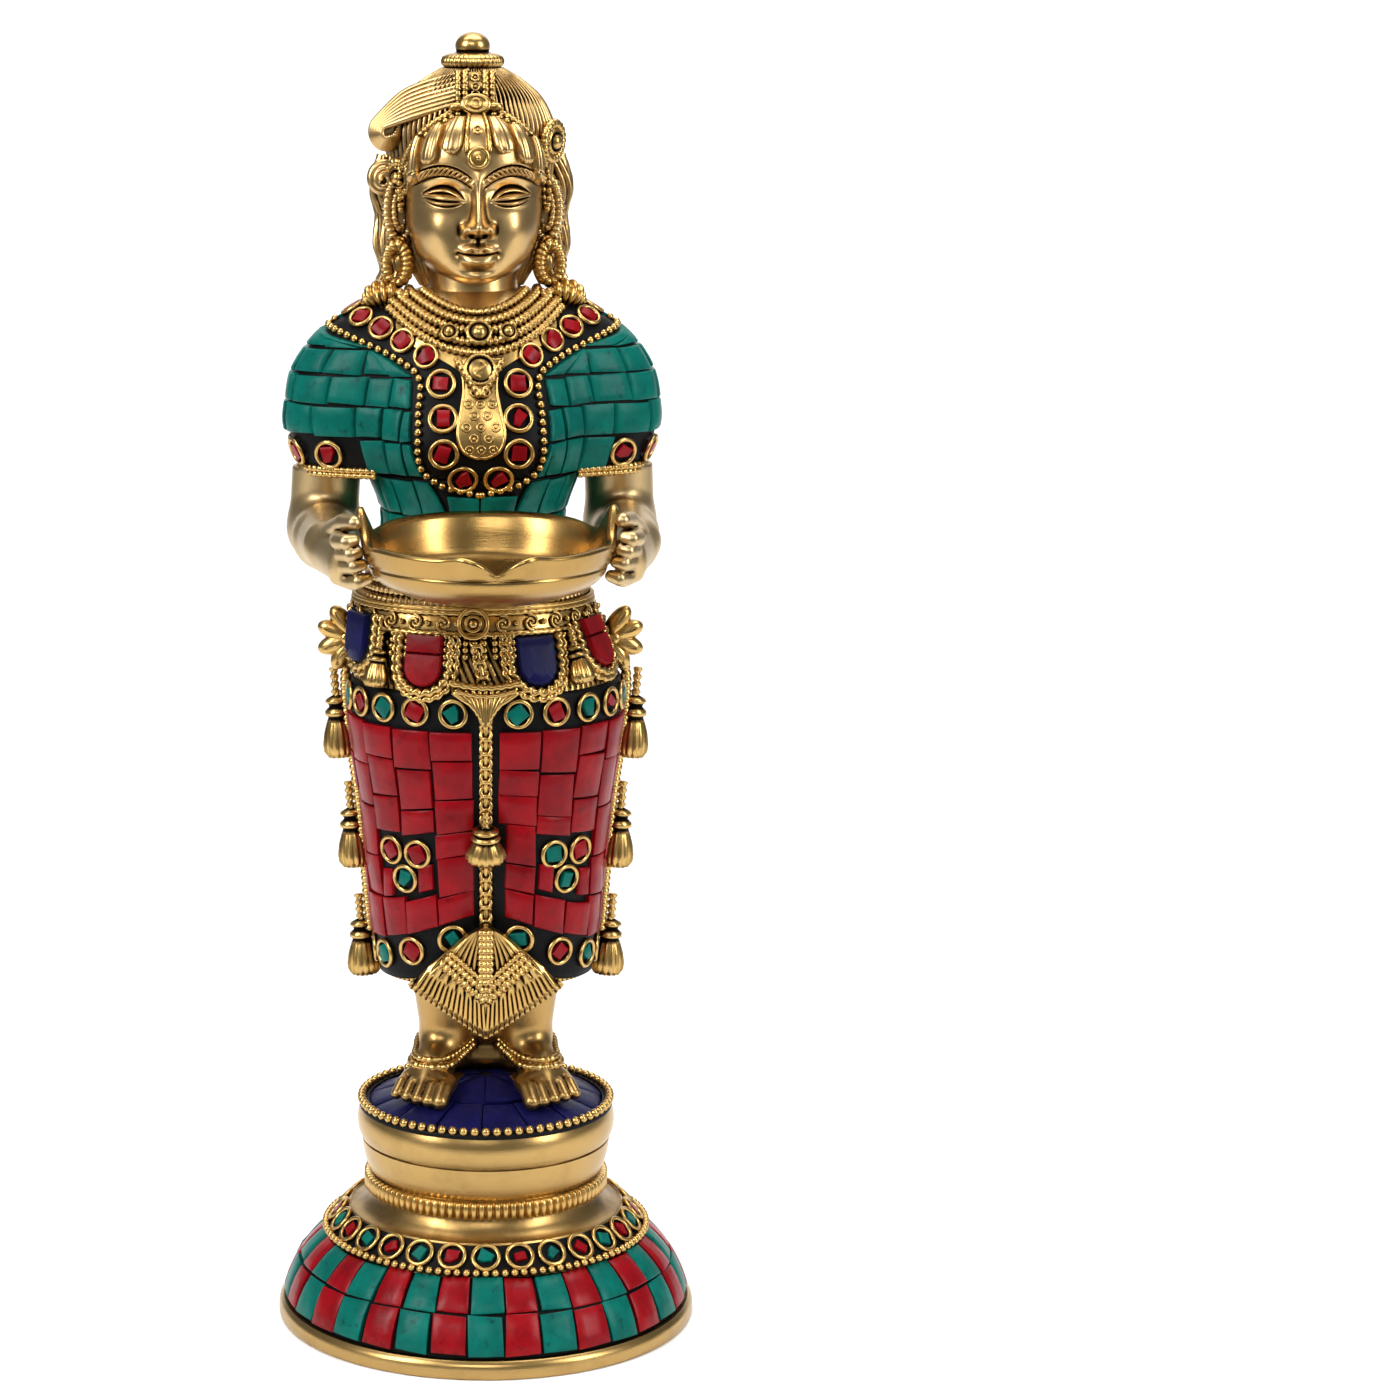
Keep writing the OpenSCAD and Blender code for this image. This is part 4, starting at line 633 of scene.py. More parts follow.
BRASS = brass("antique_brass", patina_and_shade=1.3)
SKIN = brass("cast_brass", (0.57, 0.375, 0.155), rough=0.31)
TURNED = brass("turned_brass", (0.46, 0.295, 0.105), (0.25, 0.15, 0.05), 0.29, True, 0.4, 1.0, 120)
SATIN = brass("satin_brass", (0.53, 0.38, 0.185), (0.31, 0.2, 0.085), 0.38)
FOOT_BRASS = brass("foot_brass", (0.42, 0.26, 0.09), (0.2, 0.11, 0.035), 0.34)
BOWL_BRASS = brass("bowl_brass", (0.4, 0.245, 0.078), (0.24, 0.135, 0.04), 0.27, True, 0.5, 0.8, 120)
CORAL = stone("coral_stone", (0.16, 0.001, 0.004), (0.34, 0.002, 0.006), (0.45, 0.008, 0.013), 120, 0.32,
              (0.12, 0.001, 0.003), 0.15)
TURQUOISE = stone("turquoise_stone", (0.001, 0.085, 0.068), (0.002, 0.165, 0.125), (0.008, 0.25, 0.19),
                  150, 0.34, (0.003, 0.045, 0.04))
LAPIS = stone("lapis_stone", (0.004, 0.004, 0.035), (0.008, 0.009, 0.085), (0.02, 0.026, 0.16), 160, 0.38)
LACQUER = stone("black_lac", (0.003, 0.003, 0.003), (0.005, 0.005, 0.005), (0.011, 0.01, 0.009), 300, 0.5)


# Pieces

PIECES = []


def piece(name, M, material=BRASS, sharp=None, top=False):
    """Makes the visual piece of one CAD node; top pieces stand with the leaning upper figure."""
    if isinstance(M, tuple):
        M = Mesh(M)
    V = np.concatenate(M.points)
    V = (lean(V) if top else V) * 0.001
    quads = np.concatenate(M.quads) if M.quads else np.zeros((0, 4), int)
    triangles = np.concatenate(M.triangles) if M.triangles else np.zeros((0, 3), int)
    loops = np.concatenate([quads.ravel(), triangles.ravel()]).astype(np.int32)
    start = np.concatenate([np.arange(len(quads)) * 4, quads.size + np.arange(len(triangles)) * 3])
    mesh = bpy.data.meshes.new(name)
    mesh.vertices.add(len(V))
    mesh.vertices.foreach_set("co", V.astype(np.float32).ravel())
    mesh.loops.add(len(loops))
    mesh.loops.foreach_set("vertex_index", loops)
    mesh.polygons.add(len(start))
    mesh.polygons.foreach_set("loop_start", start.astype(np.int32))
    mesh.polygons.foreach_set("use_smooth", np.ones(len(start), bool))
    mesh.update(calc_edges=True)
    mesh.validate()
    work = bmesh.new()
    work.from_mesh(mesh)
    bmesh.ops.recalc_face_normals(work, faces=work.faces)
    work.to_mesh(mesh)
    work.free()
    if sharp:
        mesh.set_sharp_from_angle(angle=math.radians(sharp))
    mesh.materials.append(material)
    made = bpy.data.objects.new("v_" + name, mesh)
    bpy.context.scene.collection.objects.link(made)
    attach(made, "root")
    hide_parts(name)
    PIECES.append(made)


# Pedestal

def arc(p, q, rise):
    """Arc from p to q that bows by rise: its centre, radius, first angle and sweep."""
    p, q = np.array(p, float), np.array(q, float)
    chord = np.linalg.norm(q - p)
    r = (chord**2 / 4 + rise**2) / (2 * abs(rise))
    u = (q - p) / chord
    o = (p + q) / 2 - np.sign(rise) * np.array([u[1], -u[0]]) * (r - abs(rise))
    first, last = math.atan2(*(p - o)[::-1]), math.atan2(*(q - o)[::-1])
    return o, r, first, (last - first + PI) % (2 * PI) - PI


def on_arc(A, s, d):
    o, r, first, sweep = A
    a = first + sweep * np.asarray(s)
    return o[0] + (r - d) * np.cos(a), o[1] + (r - d) * np.sin(a)


FOOT = arc((49, 4.4), (38, 21.4), 2)
DOME = arc((28.4, DRUM_Z), (0.01, 59), 1.2)
FOOT_COLUMNS, FOOT_RINGS = 34, 28
SLOPE_IN, SLOPE_UP = 5.0, 5.4  # the sloping band over the foot
COLLAR_RIBS = 96


def on_foot(a, s, d):
    r, z = on_arc(FOOT, s, BED - d)
    return polar(r, a, z)


def on_dome(a, s, d):
    r, z = on_arc(DOME, s, BED - d)
    return polar(np.maximum(r, 0.02), a, z)


def pedestal():
    flare = arc((33, 26.8), (27.4, 31.4), -1.2)
    taper = arc((27.9, 36.2), (29.7, 43.3), 0.35)
    drum = arc((29.9, 44.4), (30.1, 51.6), 0.85)

    def along(A, start, stop, n, d=0.0):
        return list(zip(*on_arc(A, np.linspace(start, stop, n), d)))
    outline = [(46.6, 0), (49.3, 0), (49.8, 0.25), (50, 0.8), (50, 2.2), (49.9, 3.1), (49.5, 3.9),
               (48.9, 4.35)]
    outline += along(FOOT, 0, 1, 16, BED) + [(34.2, 25.2), (33, 26.3), (33.1, 26.9), (32.7, 27.2)]
    outline += along(flare, 0.08, 1, 9) + [(27.4, 35.4), (27.5, 35.9)]
    outline += along(taper, 0, 1, 8) + [(29.75, 43.7), (29.2, 43.85), (29.2, 44.1)]
    outline += along(drum, 0, 1, 10) + [(29.9, 52.2), (29.4, 52.55), (28.6, DRUM_Z), (28.6, SEAT_Z)]
    outline += [(3.3, SEAT_Z), (3.3, 47.1), (24, 47.1), (24, 31.4), (28.1, 23.4)]
    outline += along(FOOT, 1, 0, 12, BED + 2.4) + [(46.6, 0)]
    return revolve(outline, 192)


def ribbed_collar():
    a = turn(COLLAR_RIBS * 12)
    rib = 29.3 - 1.1 * np.abs(np.cos(COLLAR_RIBS / 2 * a)) ** 6
    rows = [(rib - d, z) for d, z in ((0.5, 31.45), (0.1, 31.8), (0, 33.5), (0.1, 35.2), (0.5, 35.55))]
    rows = [(27.3, 31.4)] + rows + [(27.3, 35.6)]
    return grid(np.stack([vec(r * np.cos(a), r * np.sin(a), z) for r, z in rows], 1), True)


piece("pedestal", pedestal(), TURNED, TURNED_EDGE)
piece("ribbed_collar", ribbed_collar())

t = np.linspace(0, 1, 6)
M = Mesh(plate(on_foot, (0, 360), (0, 1), 0.0, LAC, 240, 24))
M.add(revolve(np.stack([38 - SLOPE_IN * t, 21.4 + SLOPE_UP * t], 1), 180))
piece("foot_lac", M, LACQUER)

for first, name, material in ((0, "foot_coral_tiles", CORAL), (1, "foot_turquoise_tiles", TURQUOISE)):
    M = Mesh()
    w, gap = 360 / FOOT_COLUMNS, 0.42
    for i in range(first, FOOT_COLUMNS, 2):
        for s0, s1, shift in ((0.055, 0.5, 0), (0.53, 0.96, 0.6)):
            outline = corners(i * w + gap + shift, (i + 1) * w - gap + shift, s0, s1, 0.45, 0.016)
            M.add(tile(on_foot, outline, BED - 0.05, 0.16, edge=0.045))
    piece(name, M, material, CREASE)

RING = torus((RING_D - WIRE) / 2, WIRE / 2, 30, 8)
th = turn(FOOT_RINGS)
slope = math.atan2(SLOPE_UP, SLOPE_IN)
out = vec(np.cos(th) * math.sin(slope), np.sin(th) * math.sin(slope), math.cos(slope))
along = vec(-np.sin(th), np.cos(th), 0)
upward = np.cross(out, along)
middle = vec(35.5 * np.cos(th), 35.5 * np.sin(th), 24.1) + 0.5 * upward
foot_seats = list(zip(middle, along, upward, out))
piece("foot_rings", place(RING, middle + out * WIRE / 2, along, upward, out))
piece("foot_coral_chips", chips(foot_seats[0::2], 3.0, 1.0), CORAL, CHIP_EDGE)
piece("foot_turquoise_chips", chips(foot_seats[1::2], 3.0, 1.0), TURQUOISE, CHIP_EDGE)
piece("foot_beads", beads(polar(38.6, turn_degrees(108), 22.0), 1.8, BALL2))
piece("drum_beads", beads(polar(29.75, turn_degrees(72), 53.4), 2.1, BALL2))

M = Mesh(plate(on_dome, (0, 360), (0, 1), 0.0, LAC, 150, 14))
M.add(revolve([(28.0, 53.0), (29.6, 53.0), (30.2, 52.6), (30.35, 52.0), (30.3, 51.6)], 180))
piece("drum_lac", M, LACQUER)
M = Mesh()
for s0, s1, n, shift in ((0.02, 0.4, 15, 4), (0.43, 0.95, 7, 12)):
    w = 360 / n
    gap = 0.35 / (1 - (s0 + s1) / 2.2)
    for i in range(n):
        outline = corners(i * w + shift + gap, (i + 1) * w + shift - gap, s0, s1, gap * 1.2, 0.012)
        M.add(tile(on_dome, outline, BED - 0.05, 0.18))
piece("lapis_tiles", M, LAPIS, CREASE)


# Feet

TOES = [(1.75, 0), (1.4, 0.2), (1.32, 1.0), (1.26, 2.0), (1.22, 3.2)]  # radius, and how far back the tip is


def feet_field(P):
    x, y, z = np.moveaxis(P, -1, 0)
    X, Y = np.abs(x) - 10, y - 2
    c, s = math.cos(TOE_OUT), math.sin(TOE_OUT)
    Q = vec(X * c + Y * s, Y * c - X * s, z - SOLE_Z)
    # heel, instep, sole, ball of the foot and shin
    D = cone(Q, (0, 5.2, 3.4), (0, 4.6, 8), 4.6, 5.0)
    for a, b, ra, rb, k in (((0, 0.8, 9), (0.2, -7, 4.4), 5.7, 4.4, 3),
                            ((0.2, -7, 3.6), (0.2, -12.4, 1.0), 4.6, 3.2, 2.5),
                            ((-3.8, -11.4, 1.1), (4.4, -10.0, 1.0), 3.1, 2.8, 2),
                            ((0, 0.8, 9), (-0.6, -1.6, 28), 5.7, 8.1, 2.5)):
        D = blend(D, cone(Q, a, b, ra, rb), k)
    for k, (radius, back) in enumerate(TOES):
        r = radius * 1.16
        bx, by = (k - 2) * 2.7 - 0.1, -11.4 + 0.5 * k * (k > 1)
        ex, ey = (k - 2) * 3.0 + 0.2, -19.4 + back
        mid = ((bx + ex) / 2, (by + ey) / 2 - 0.6, 1.2)
        toe = np.minimum(cone(Q, (bx, by, 1.4), mid, 1.9, r), cone(Q, mid, (ex, ey, -0.9), r, r * 0.98))
        D = blend(D, toe, 0.55)
    D = np.maximum(D, SOLE_Z - 4.4 - z)
    # the web between the ankles, and the plate under the feet
    web = cone(P, (-9, 5.5, SOLE_Z + 4), (9, 5.5, SOLE_Z + 4), 3.4, 3.4)
    web = blend(web, cone(P, (-9, 5.2, SOLE_Z + 11), (9, 5.2, SOLE_Z + 11), 4.2, 4.2), 3.0)
    D = blend(D, web, 2.0)
    base = np.maximum(np.abs(x) - 10, np.abs(y - 3) - 4)
    base = np.minimum(cone(Q[..., :2], (0, 5.7), (0, -7.0), 5.0, 5.4), base)
    base = np.maximum(base, np.maximum(z - SOLE_Z - 0.4, SEAT_Z + 0.2 - z))
    return np.maximum(np.minimum(D, base), z - SKIRT_Z)


def anklet(height, tilt):
    """Path round an ankle: on each ray, just past the first point outside the foot."""
    n = 160
    t = turn(n)
    reach = np.linspace(3, 12, 181)
    x, y = np.cos(t)[:, None] * reach, np.sin(t)[:, None] * reach - 1
    c, s = math.cos(TOE_OUT), math.sin(TOE_OUT)
    P = vec(10 + x * c - y * s, 2 + x * s + y * c, SOLE_Z + height + tilt * np.sin(t)[:, None])
    inner = np.clip((5.9 / np.maximum(-np.cos(t), 0.3) - 3) / 0.05, 58, 150)
    hit = np.argmax(feet_field(P) > 0, 1)
    hit = np.where(hit == 0, 90, np.minimum(hit, np.where(np.cos(t) < 0, inner, 150))).astype(float)
    hit = (np.convolve(np.tile(hit, 3), np.ones(13) / 13, "same")[n:2 * n] + 0.5).astype(int)
    return P[np.arange(n), np.clip(hit + 6, 0, 180)]


piece("feet", nets(feet_field, (-29, -24, 50), (29, 15, 86), 0.42), FOOT_BRASS)
M = Mesh()
for side in (-1, 1):
    for height, tilt, radius in ((6.6, 1.7, 0.95), (8.2, 1.5, 0.7)):
        M.add(tube(anklet(height, tilt) * [side, 1, 1], radius, 8, True, ribs=0.3, pitch=1.5))
piece("anklets", M)


# Skirt: angles in degrees, u across one leg and v up it

LEG_FRONT, LEG_BACK = -85.0, 82.0
LEG = LEG_BACK - LEG_FRONT
LEG_COLUMNS, HIP_RINGS, HEM_RINGS = 9, 10, 7
CLUSTER_U, CLUSTER_V = 2 / 9, 1 / 3


def hem_z(a):
    return SKIRT_Z + 1 + 8 * bell(a + 90, 42)


def on_lac(u, v, d):
    a = -90 + (LEG_BACK + 90) * u
    low = SKIRT_Z + 0.4 + 8.6 * bell(a + 90, 28)
    return on_skirt(a, low + (LAC_TOP_Z - low) * v, d)


def on_leg(u, v, d):
    a = LEG_FRONT + LEG * u
    low = hem_z(a) + BAND
    return on_skirt(a, low + (LAC_TOP_Z - BAND - low) * v, d)


def figure_skirt():
    A, Z = lattice(turn_degrees(720), np.linspace(SKIRT_Z, TORSO_Z, 91))
    a = np.radians(A)
    hem = (1 - np.abs(np.cos(a * 45)) ** 0.5) * ease((hem_z(A) + 0.6 - Z) * 1.5) * (np.sin(a) < 0.2)
    hip = (1 - np.abs(np.cos(a * 52 + 0.5 * Z)) ** 0.5) * ease((Z - LAC_TOP_Z - 0.2) * 2)
    M = Mesh(grid(on_skirt(A, Z, -0.7 * hem - 0.6 * hip), True))
    for z in (SKIRT_Z, TORSO_Z):
        ring = on_skirt(turn_degrees(180), z, 0.0)
        M.add(grid(np.stack([ring, ring * [0.02, 0.02, 1]], 1), True))
    return M


piece("figure_skirt", figure_skirt())

CLUSTER_A = LEG_FRONT + LEG * CLUSTER_U
LEG_TALL = float(LAC_TOP_Z - 2 * BAND - hem_z(CLUSTER_A))
CLUSTER_Z = hem_z(CLUSTER_A) + BAND + LEG_TALL * CLUSTER_V
CLUSTER_STEP = math.degrees(RING_D * 0.56 / 27.75)
spots = [(LEG_FRONT + LEG * (i + 0.5) / HIP_RINGS, LAC_TOP_Z - BAND / 2) for i in range(HIP_RINGS)]
for i in range(HEM_RINGS):
    a = LEG_FRONT + LEG * (i + 0.5) / HEM_RINGS
    spots.append((a, hem_z(a) + BAND / 2))
spots += [(CLUSTER_A + k * CLUSTER_STEP, CLUSTER_Z + RING_D * 0.45) for k in (-1, 1)]
spots = np.array(spots + [(CLUSTER_A, CLUSTER_Z - RING_D * 0.45)])
RED_SPOTS = [1, 3, 5, 7, 9, 11, 13, 15, 18]


def leg_mosaic(cleft):
    """Tiles of one leg with a field left for the ring cluster; cleft leaves a gap low at the front."""
    M = Mesh()
    wide = math.radians(LEG) * 27.4
    left, right = (CLUSTER_U + k * (RING_D * 1.06 + 0.35) / wide for k in (-1, 1))
    low, high = (CLUSTER_V + k * (RING_D * 0.95 + 0.35) / LEG_TALL for k in (-1, 1))
    side_gap, row_gap = 0.0032, 0.0046
    for i in range(LEG_COLUMNS):
        u0, u1 = i / LEG_COLUMNS, (i + 1) / LEG_COLUMNS
        rows = 5 if i % 2 else 6
        cuts = [0.0] + [k / rows + rng.uniform(-0.035, 0.035) for k in range(1, rows)] + [1.0]
        for v0, v1 in zip(cuts[:-1], cuts[1:]):
            parts = [(u0, u1, v0, v1)]
            if u1 > left and u0 < right and v1 > low and v0 < high:
                m0, m1 = max(v0, low), min(v1, high)
                beside = m1 - m0 > 0.05
                parts = [part for part, kept in (((u0, u1, v0, low), v0 < low - 0.045),
                                                 ((u0, u1, high, v1), v1 > high + 0.045),
                                                 ((u0, left, m0, m1), beside and u0 < left - 0.02),
                                                 ((right, u1, m0, m1), beside and u1 > right + 0.02)) if kept]
            for a0, a1, b0, b1 in parts:
                start = a0 + side_gap + (0.022 if i == 0 and cleft and b0 < 0.5 else 0)
                outline = corners(start, a1 - side_gap, b0 + row_gap, b1 - row_gap, 0.003, 0.005)
                M.add(tile(on_leg, outline, BED - 0.1, 0.2))
    r = (RING_D / 2 + 0.35) / wide
    for u0, u1 in ((left, CLUSTER_U - r), (CLUSTER_U + r, right)):
        outline = corners(u0 + 0.003, u1 - 0.003, low + 0.004, CLUSTER_V - 0.01, 0.002, 0.004)
        M.add(tile(on_leg, outline, BED - 0.1, 0.2))
    return M


def leg_seats(d, mirror):
    seats = seat(on_skirt, spots[:, 0], spots[:, 1], d)
    return [flip(e) for e in seats] if mirror else seats


piece("skirt_coral_tiles", Mesh(leg_mosaic(True), leg_mosaic(False).moved(flip)), CORAL, CREASE)
rings, red, green = Mesh(), [], []
for mirror in (False, True):
    rings.add(place(RING, *leg_seats(LAC + WIRE / 2, mirror)))
    for i, axes in enumerate(zip(*leg_seats(LAC, mirror))):
        (red if i in RED_SPOTS or (mirror and i == 17) else green).append(axes)
piece("skirt_rings", rings)
piece("skirt_coral_chips", chips(red, 3.6, 1.1), CORAL, CHIP_EDGE)
piece("skirt_turquoise_chips", chips(green, 3.6, 1.1), TURQUOISE, CHIP_EDGE)


# Girdle

STONES = (-155, -115, -65, -25, 25, 65, 115, 155)  # degrees; lapis and coral in turn
SAWN = (-115, -25)  # stones in two pieces
RAISED = {-155: 3.6, -25: 2.0}
STONE_W, STONE_H, STONE_T = 9.4, 11.4, 2.0
STONE_Z = BELT_Z - STONE_H / 2 - 0.6
SCROLLS = 26


def drawn(O, X, Y, x, y):
    """A line drawn on the plane through O along X and Y."""
    return O + np.multiply.outer(x, X) + np.multiply.outer(y, Y)


def girdle():
    A, T = lattice(turn_degrees(240), np.linspace(0, 1, 9))
    M = Mesh(grid(on_skirt(A, BELT_Z + 5.2 * T, 0.2 + 0.9 * cap(2 * T - 1) ** 0.4), True))
    top = TORSO_Z - 0.1
    for z, r in ((BELT_Z + 0.3, 0.75), (BELT_Z + 5.0, 0.75), (BELT_Z + 6.0, 0.6)):
        ring = on_skirt(np.linspace(0, 360, 261), min(z, top), 1.2) + [0, 0, max(0, z - top)]
        M.add(rope(ring, r, 0.4, 7, pitch=1.8))
    for k in range(SCROLLS):
        O, *axes = spot(on_skirt, k * 360 / SCROLLS - 90, BELT_Z + 2.6, 1.3)
        X, Y, N = axes
        if k == 0:
            for R, r in ((3.3, 0.6), (1.7, 0.45)):
                M.add(place(torus(R, r, 28, 7), O + N * 0.6, *axes))
            M.add(lump(O + N * 0.4, (1.1, 1.1, 0.9), *axes))
            continue
        t = np.linspace(0, 1, 26)
        r, a = 0.3 + 1.7 * t, 1.6 * PI * t + (PI if k % 2 else 0)
        for s in (-1, 1):
            M.add(tube(drawn(O + N * 0.3, X, Y, s * r * np.cos(a), s * r * np.sin(a) * 0.95), 0.42, 6))
        M.add(place(BALL, O + N * 0.4 + X * 3.1, *axes, size=0.75))
    return M


def shield(w, h, t, foot=True):
    """Flat top, round foot unless foot is off, faintly domed."""
    a = np.linspace(PI, 2 * PI, 17)
    low = w / 2 - h / 2 if foot else -h / 2
    bow = np.stack([w / 2 * np.cos(a), low + (w / 2 * np.sin(a) if foot else 0 * a)], 1)
    out = np.vstack([np.stack([np.linspace(w / 2, -w / 2, 9), np.full(9, h / 2)], 1),
                     np.stack([np.full(5, -w / 2), np.linspace(h / 2, low, 6)[1:]], 1), bow[1:],
                     np.stack([np.full(4, w / 2), np.linspace(low, h / 2, 6)[1:-1]], 1)])
    rows = ((1, 0), (1, t * 0.72), (0.92, t), (0.5, t * 1.04), (0.01, t * 1.05))
    return grid(np.stack([vec(out[:, 0] * s, out[:, 1] * s, z) for s, z in rows], 1), True)


def stone_seat(a, d, forward=0.2):
    rise = RAISED.get(a, 0)
    return spot(on_skirt, a, STONE_Z + rise, d + forward * rise)


def girdle_stones(angles):
    M = Mesh()
    for a in angles:
        O, *axes = stone_seat(a, 0.3)
        if a in SAWN:
            M.add(place(shield(STONE_W - 0.3, STONE_H * 0.66, STONE_T), O - axes[1] * STONE_H * 0.17, *axes))
            M.add(place(shield(STONE_W - 0.5, STONE_H * 0.36, 2.1, False),
                        O + axes[1] * STONE_H * 0.36, *axes))
        else:
            M.add(place(shield(STONE_W - 0.3, STONE_H, STONE_T), O, *axes))
    return M


def swags():
    M = Mesh()
    t = np.linspace(PI, 2 * PI, 40)
    top = STONE_H / 2 + 0.6
    for a in STONES:
        O, X, Y, N = stone_seat(a, 0.3, 0)
        for grow, r, lift in ((1.5, 1.0, 1.0), (3.0, 0.75, 0.6)):
            R = STONE_W / 2 + grow
            x = np.concatenate([[-R], R * np.cos(t), [R]])
            y = np.concatenate([[top], STONE_W / 2 - STONE_H / 2 + R * np.sin(t), [top]])
            path = drawn(O + N * lift, X, Y, x, y) - np.multiply.outer(x**2 * 0.012, N)
            M.add(rope(path, r, 0.28, 9, pitch=2.3, amp=0.36))
    return M


def tassel(l, d, strands=14):
    """Hangs along -Y from the origin, its axis d/2 off the surface along +Z."""
    knot = [(0.36, 0.34), (0.42, 0.37), (0.3, 0.4), (0.28, 0.43), (0.44, 0.47), (0.46, 0.51), (0.34, 0.54)]
    skirt = [(0.4, 0.6), (0.5, 0.72), (0.55, 0.84), (0.53, 0.92), (0.42, 0.98)]
    outline = [(0.02, 0), (0.55, 0.1), (0.6, 0.28 * l), (0.5, 0.3 * l)]
    outline += [(d * r, l * z) for r, z in knot + skirt] + [(0.02, l)]
    V, F = revolve(outline, 42, strands, [0] * 11 + [0.06, 0.1, 0.13, 0.14, 0.12, 0.0])
    t = np.linspace(0, 0.33 * l, 40)
    M = Mesh((vec(V[:, 0], -V[:, 2], V[:, 1] + d / 2), F))
    return M.add(tube(vec(0 * t, -t, d / 2), 0.9, 8, strands=2, pitch=1.7, amp=0.28))


def girdle_tassels():
    M = Mesh()
    for a in (-135, -44, 45, 135):
        M.add(tassel(13, 4.8).seated(*spot(on_skirt, a, BELT_Z - 0.4, 0.4)))
    for a in (-135, -112, -99, -86, -45, -10, -170, 10, 90, 170, 45, 135):
        for k in (-1, 0, 1):
            O, _, Y, N = spot(on_skirt, a + k * 4.2 + 9, BELT_Z - 0.3, 0.9)
            M.add(beads(O + N * 0.3 - np.arange(5 - abs(k))[:, None] * 1.55 * Y, 1.6))
    return M


def side_tassels():
    M = Mesh()
    a = 12.0
    for h, l in ((62, 22), (35, 21), (8, 20)):
        O, X, Y, N = spot(on_skirt, a, SKIRT_Z + h, BED - 0.1)
        M.add(tassel(l, 6.6).seated(O + Y * l * 0.45, X, Y, N))
    line = on_skirt(a, np.linspace(BELT_Z - 8, SKIRT_Z + 8, 120), BED + 0.9) + [0, -0.6, 0]
    return both(M.add(cord(line, 1.15, ribs=0.2)))


def hip_bows():
    M = Mesh()
    z = BELT_Z - 5.0
    for side, s in ((0, 1), (180, -1)):
        x = on_skirt(side, z - 1.4, 0.3)[0]
        for petal in (-58, -20, 20, 56):
            t = math.radians(petal)
            X, Y = np.array([s * math.cos(t), 0, math.sin(t)]), np.array([0, 1.0, 0])
            Z = np.cross(X, Y)
            O = np.array([x + s * 4.2 * math.cos(t), 1.4, z + 4.2 * math.sin(t)])
            M.add(lump(O, (4.7, 2.3, 2.45), X, Y, Z))
            M.add(place(torus(0.62, 0.2, 18, 6), O + X * 1.4 - Y * 2.1, X * 2.8, Z * 0.7, Y))
        M.add(lump((x + s * 1.6, 0.9, z), 2.0))
    return M


piece("girdle", girdle())
piece("girdle_coral", girdle_stones(STONES[1::2]), CORAL, SHIELD_EDGE)
piece("girdle_lapis", girdle_stones(STONES[0::2]), LAPIS, SHIELD_EDGE)
piece("swags", swags())
M = both(Mesh(plate(on_lac, (0, 1), (0, 1), -0.3, LAC, 90, 50)))
for a in STONES:
    M.add(place(shield(STONE_W + 1.8, STONE_H + 1.2, LAC), *stone_seat(a, 0.2)))
piece("skirt_lac", M, LACQUER)
piece("girdle_tassels", girdle_tassels())
piece("side_tassels", side_tassels())
piece("hip_bows", hip_bows())


# Front chain and apron

def front_chain():
    link = 1.75
    n = int((BELT_Z - 1.4 - 97) / link) + 1
    O, X, Y, N = seat(on_skirt, np.full(n, -90.0), BELT_Z - 1.4 - np.arange(n) * link, 1.35)
    tip = np.where(np.arange(n) % 2, 0.55, -0.55)[:, None]
    M = Mesh(place(torus(1.2, 0.5, 16, 7), O, X, unit(Y + tip * N), unit(N - tip * Y)))
    M.add(tube(O - N * 0.5, 0.7, 6))
    # the fan of strands where the chain starts
    O, X, Y, N = spot(on_skirt, -90, LAC_TOP_Z - 1, 1.6)
    for k in range(-5, 6):
        top = O + X * k * 1.5 + Y * (3.2 - 0.04 * k * k) + N * 0.8
        low = O + X * k * 0.5 + Y * (-6.4 + abs(k) * 1.05) + N * 1.3
        M.add(tube(even(np.stack([top, (top + low) / 2 + N * 0.5, low]), 0.8), 0.62, 6))
    t = np.linspace(-1, 1, 40)
    M.add(rope(drawn(O + N * 1.3, X, Y, t * 8.3, 3.2 + 1.3 * t**2), 0.8))
    M.add(rope(drawn(O + N * 1.5, X, Y, t * 7.0, 1.3 + 1.3 * t**2), 0.6, sides=7))
    # the bell
    O, X, Y, N = spot(on_skirt, -90, SKIRT_Z + 38, 1.3)
    M.add(tassel(13, 7.6, 16).seated(O + Y * 7.2, X, Y, N))
    for lift, R in ((2.2, 2.3), (0.9, 2.7)):
        M.add(place(torus(R, 0.5, 26, 7), O + Y * lift + N * 3.8, X, N, Y))
    return M


APRON_TILT = 0.1


def on_apron(x, y, n):
    tilt = math.hypot(1, APRON_TILT)
    return vec(x, -18.6 - (APRON_TILT * y + n) / tilt, SKIRT_Z + (y - APRON_TILT * n) / tilt)


def fan(S, T):
    """Apron: S from side to side, T from its top to its fringed edge."""
    q = np.abs(S)
    stroke = 2 * PI * 15 * (q - 0.16 * (1 - T))
    x = 3.2 * S + 15.1 * S * np.clip(T, 0, 1) ** 0.9
    top = 16.2 - 1.8 * q
    y = top + (-12.5 + 13.2 * q**1.05 + 0.3 * np.cos(stroke) - top) * T
    fringe = ease((T - 0.66) * 14)
    n = 2.4 - (1 - fringe) * 0.8 * (1 - np.abs(np.cos(S * PI * 7)) ** 0.4) * ease(T * 3)
    n = n - fringe * (1 - np.abs(np.cos(stroke / 2)) ** 0.4) - 1.1 * ease((T - 0.9) * 10) * fringe
    return x, y, n - 1.3 * ease((q - 0.93) * 14)


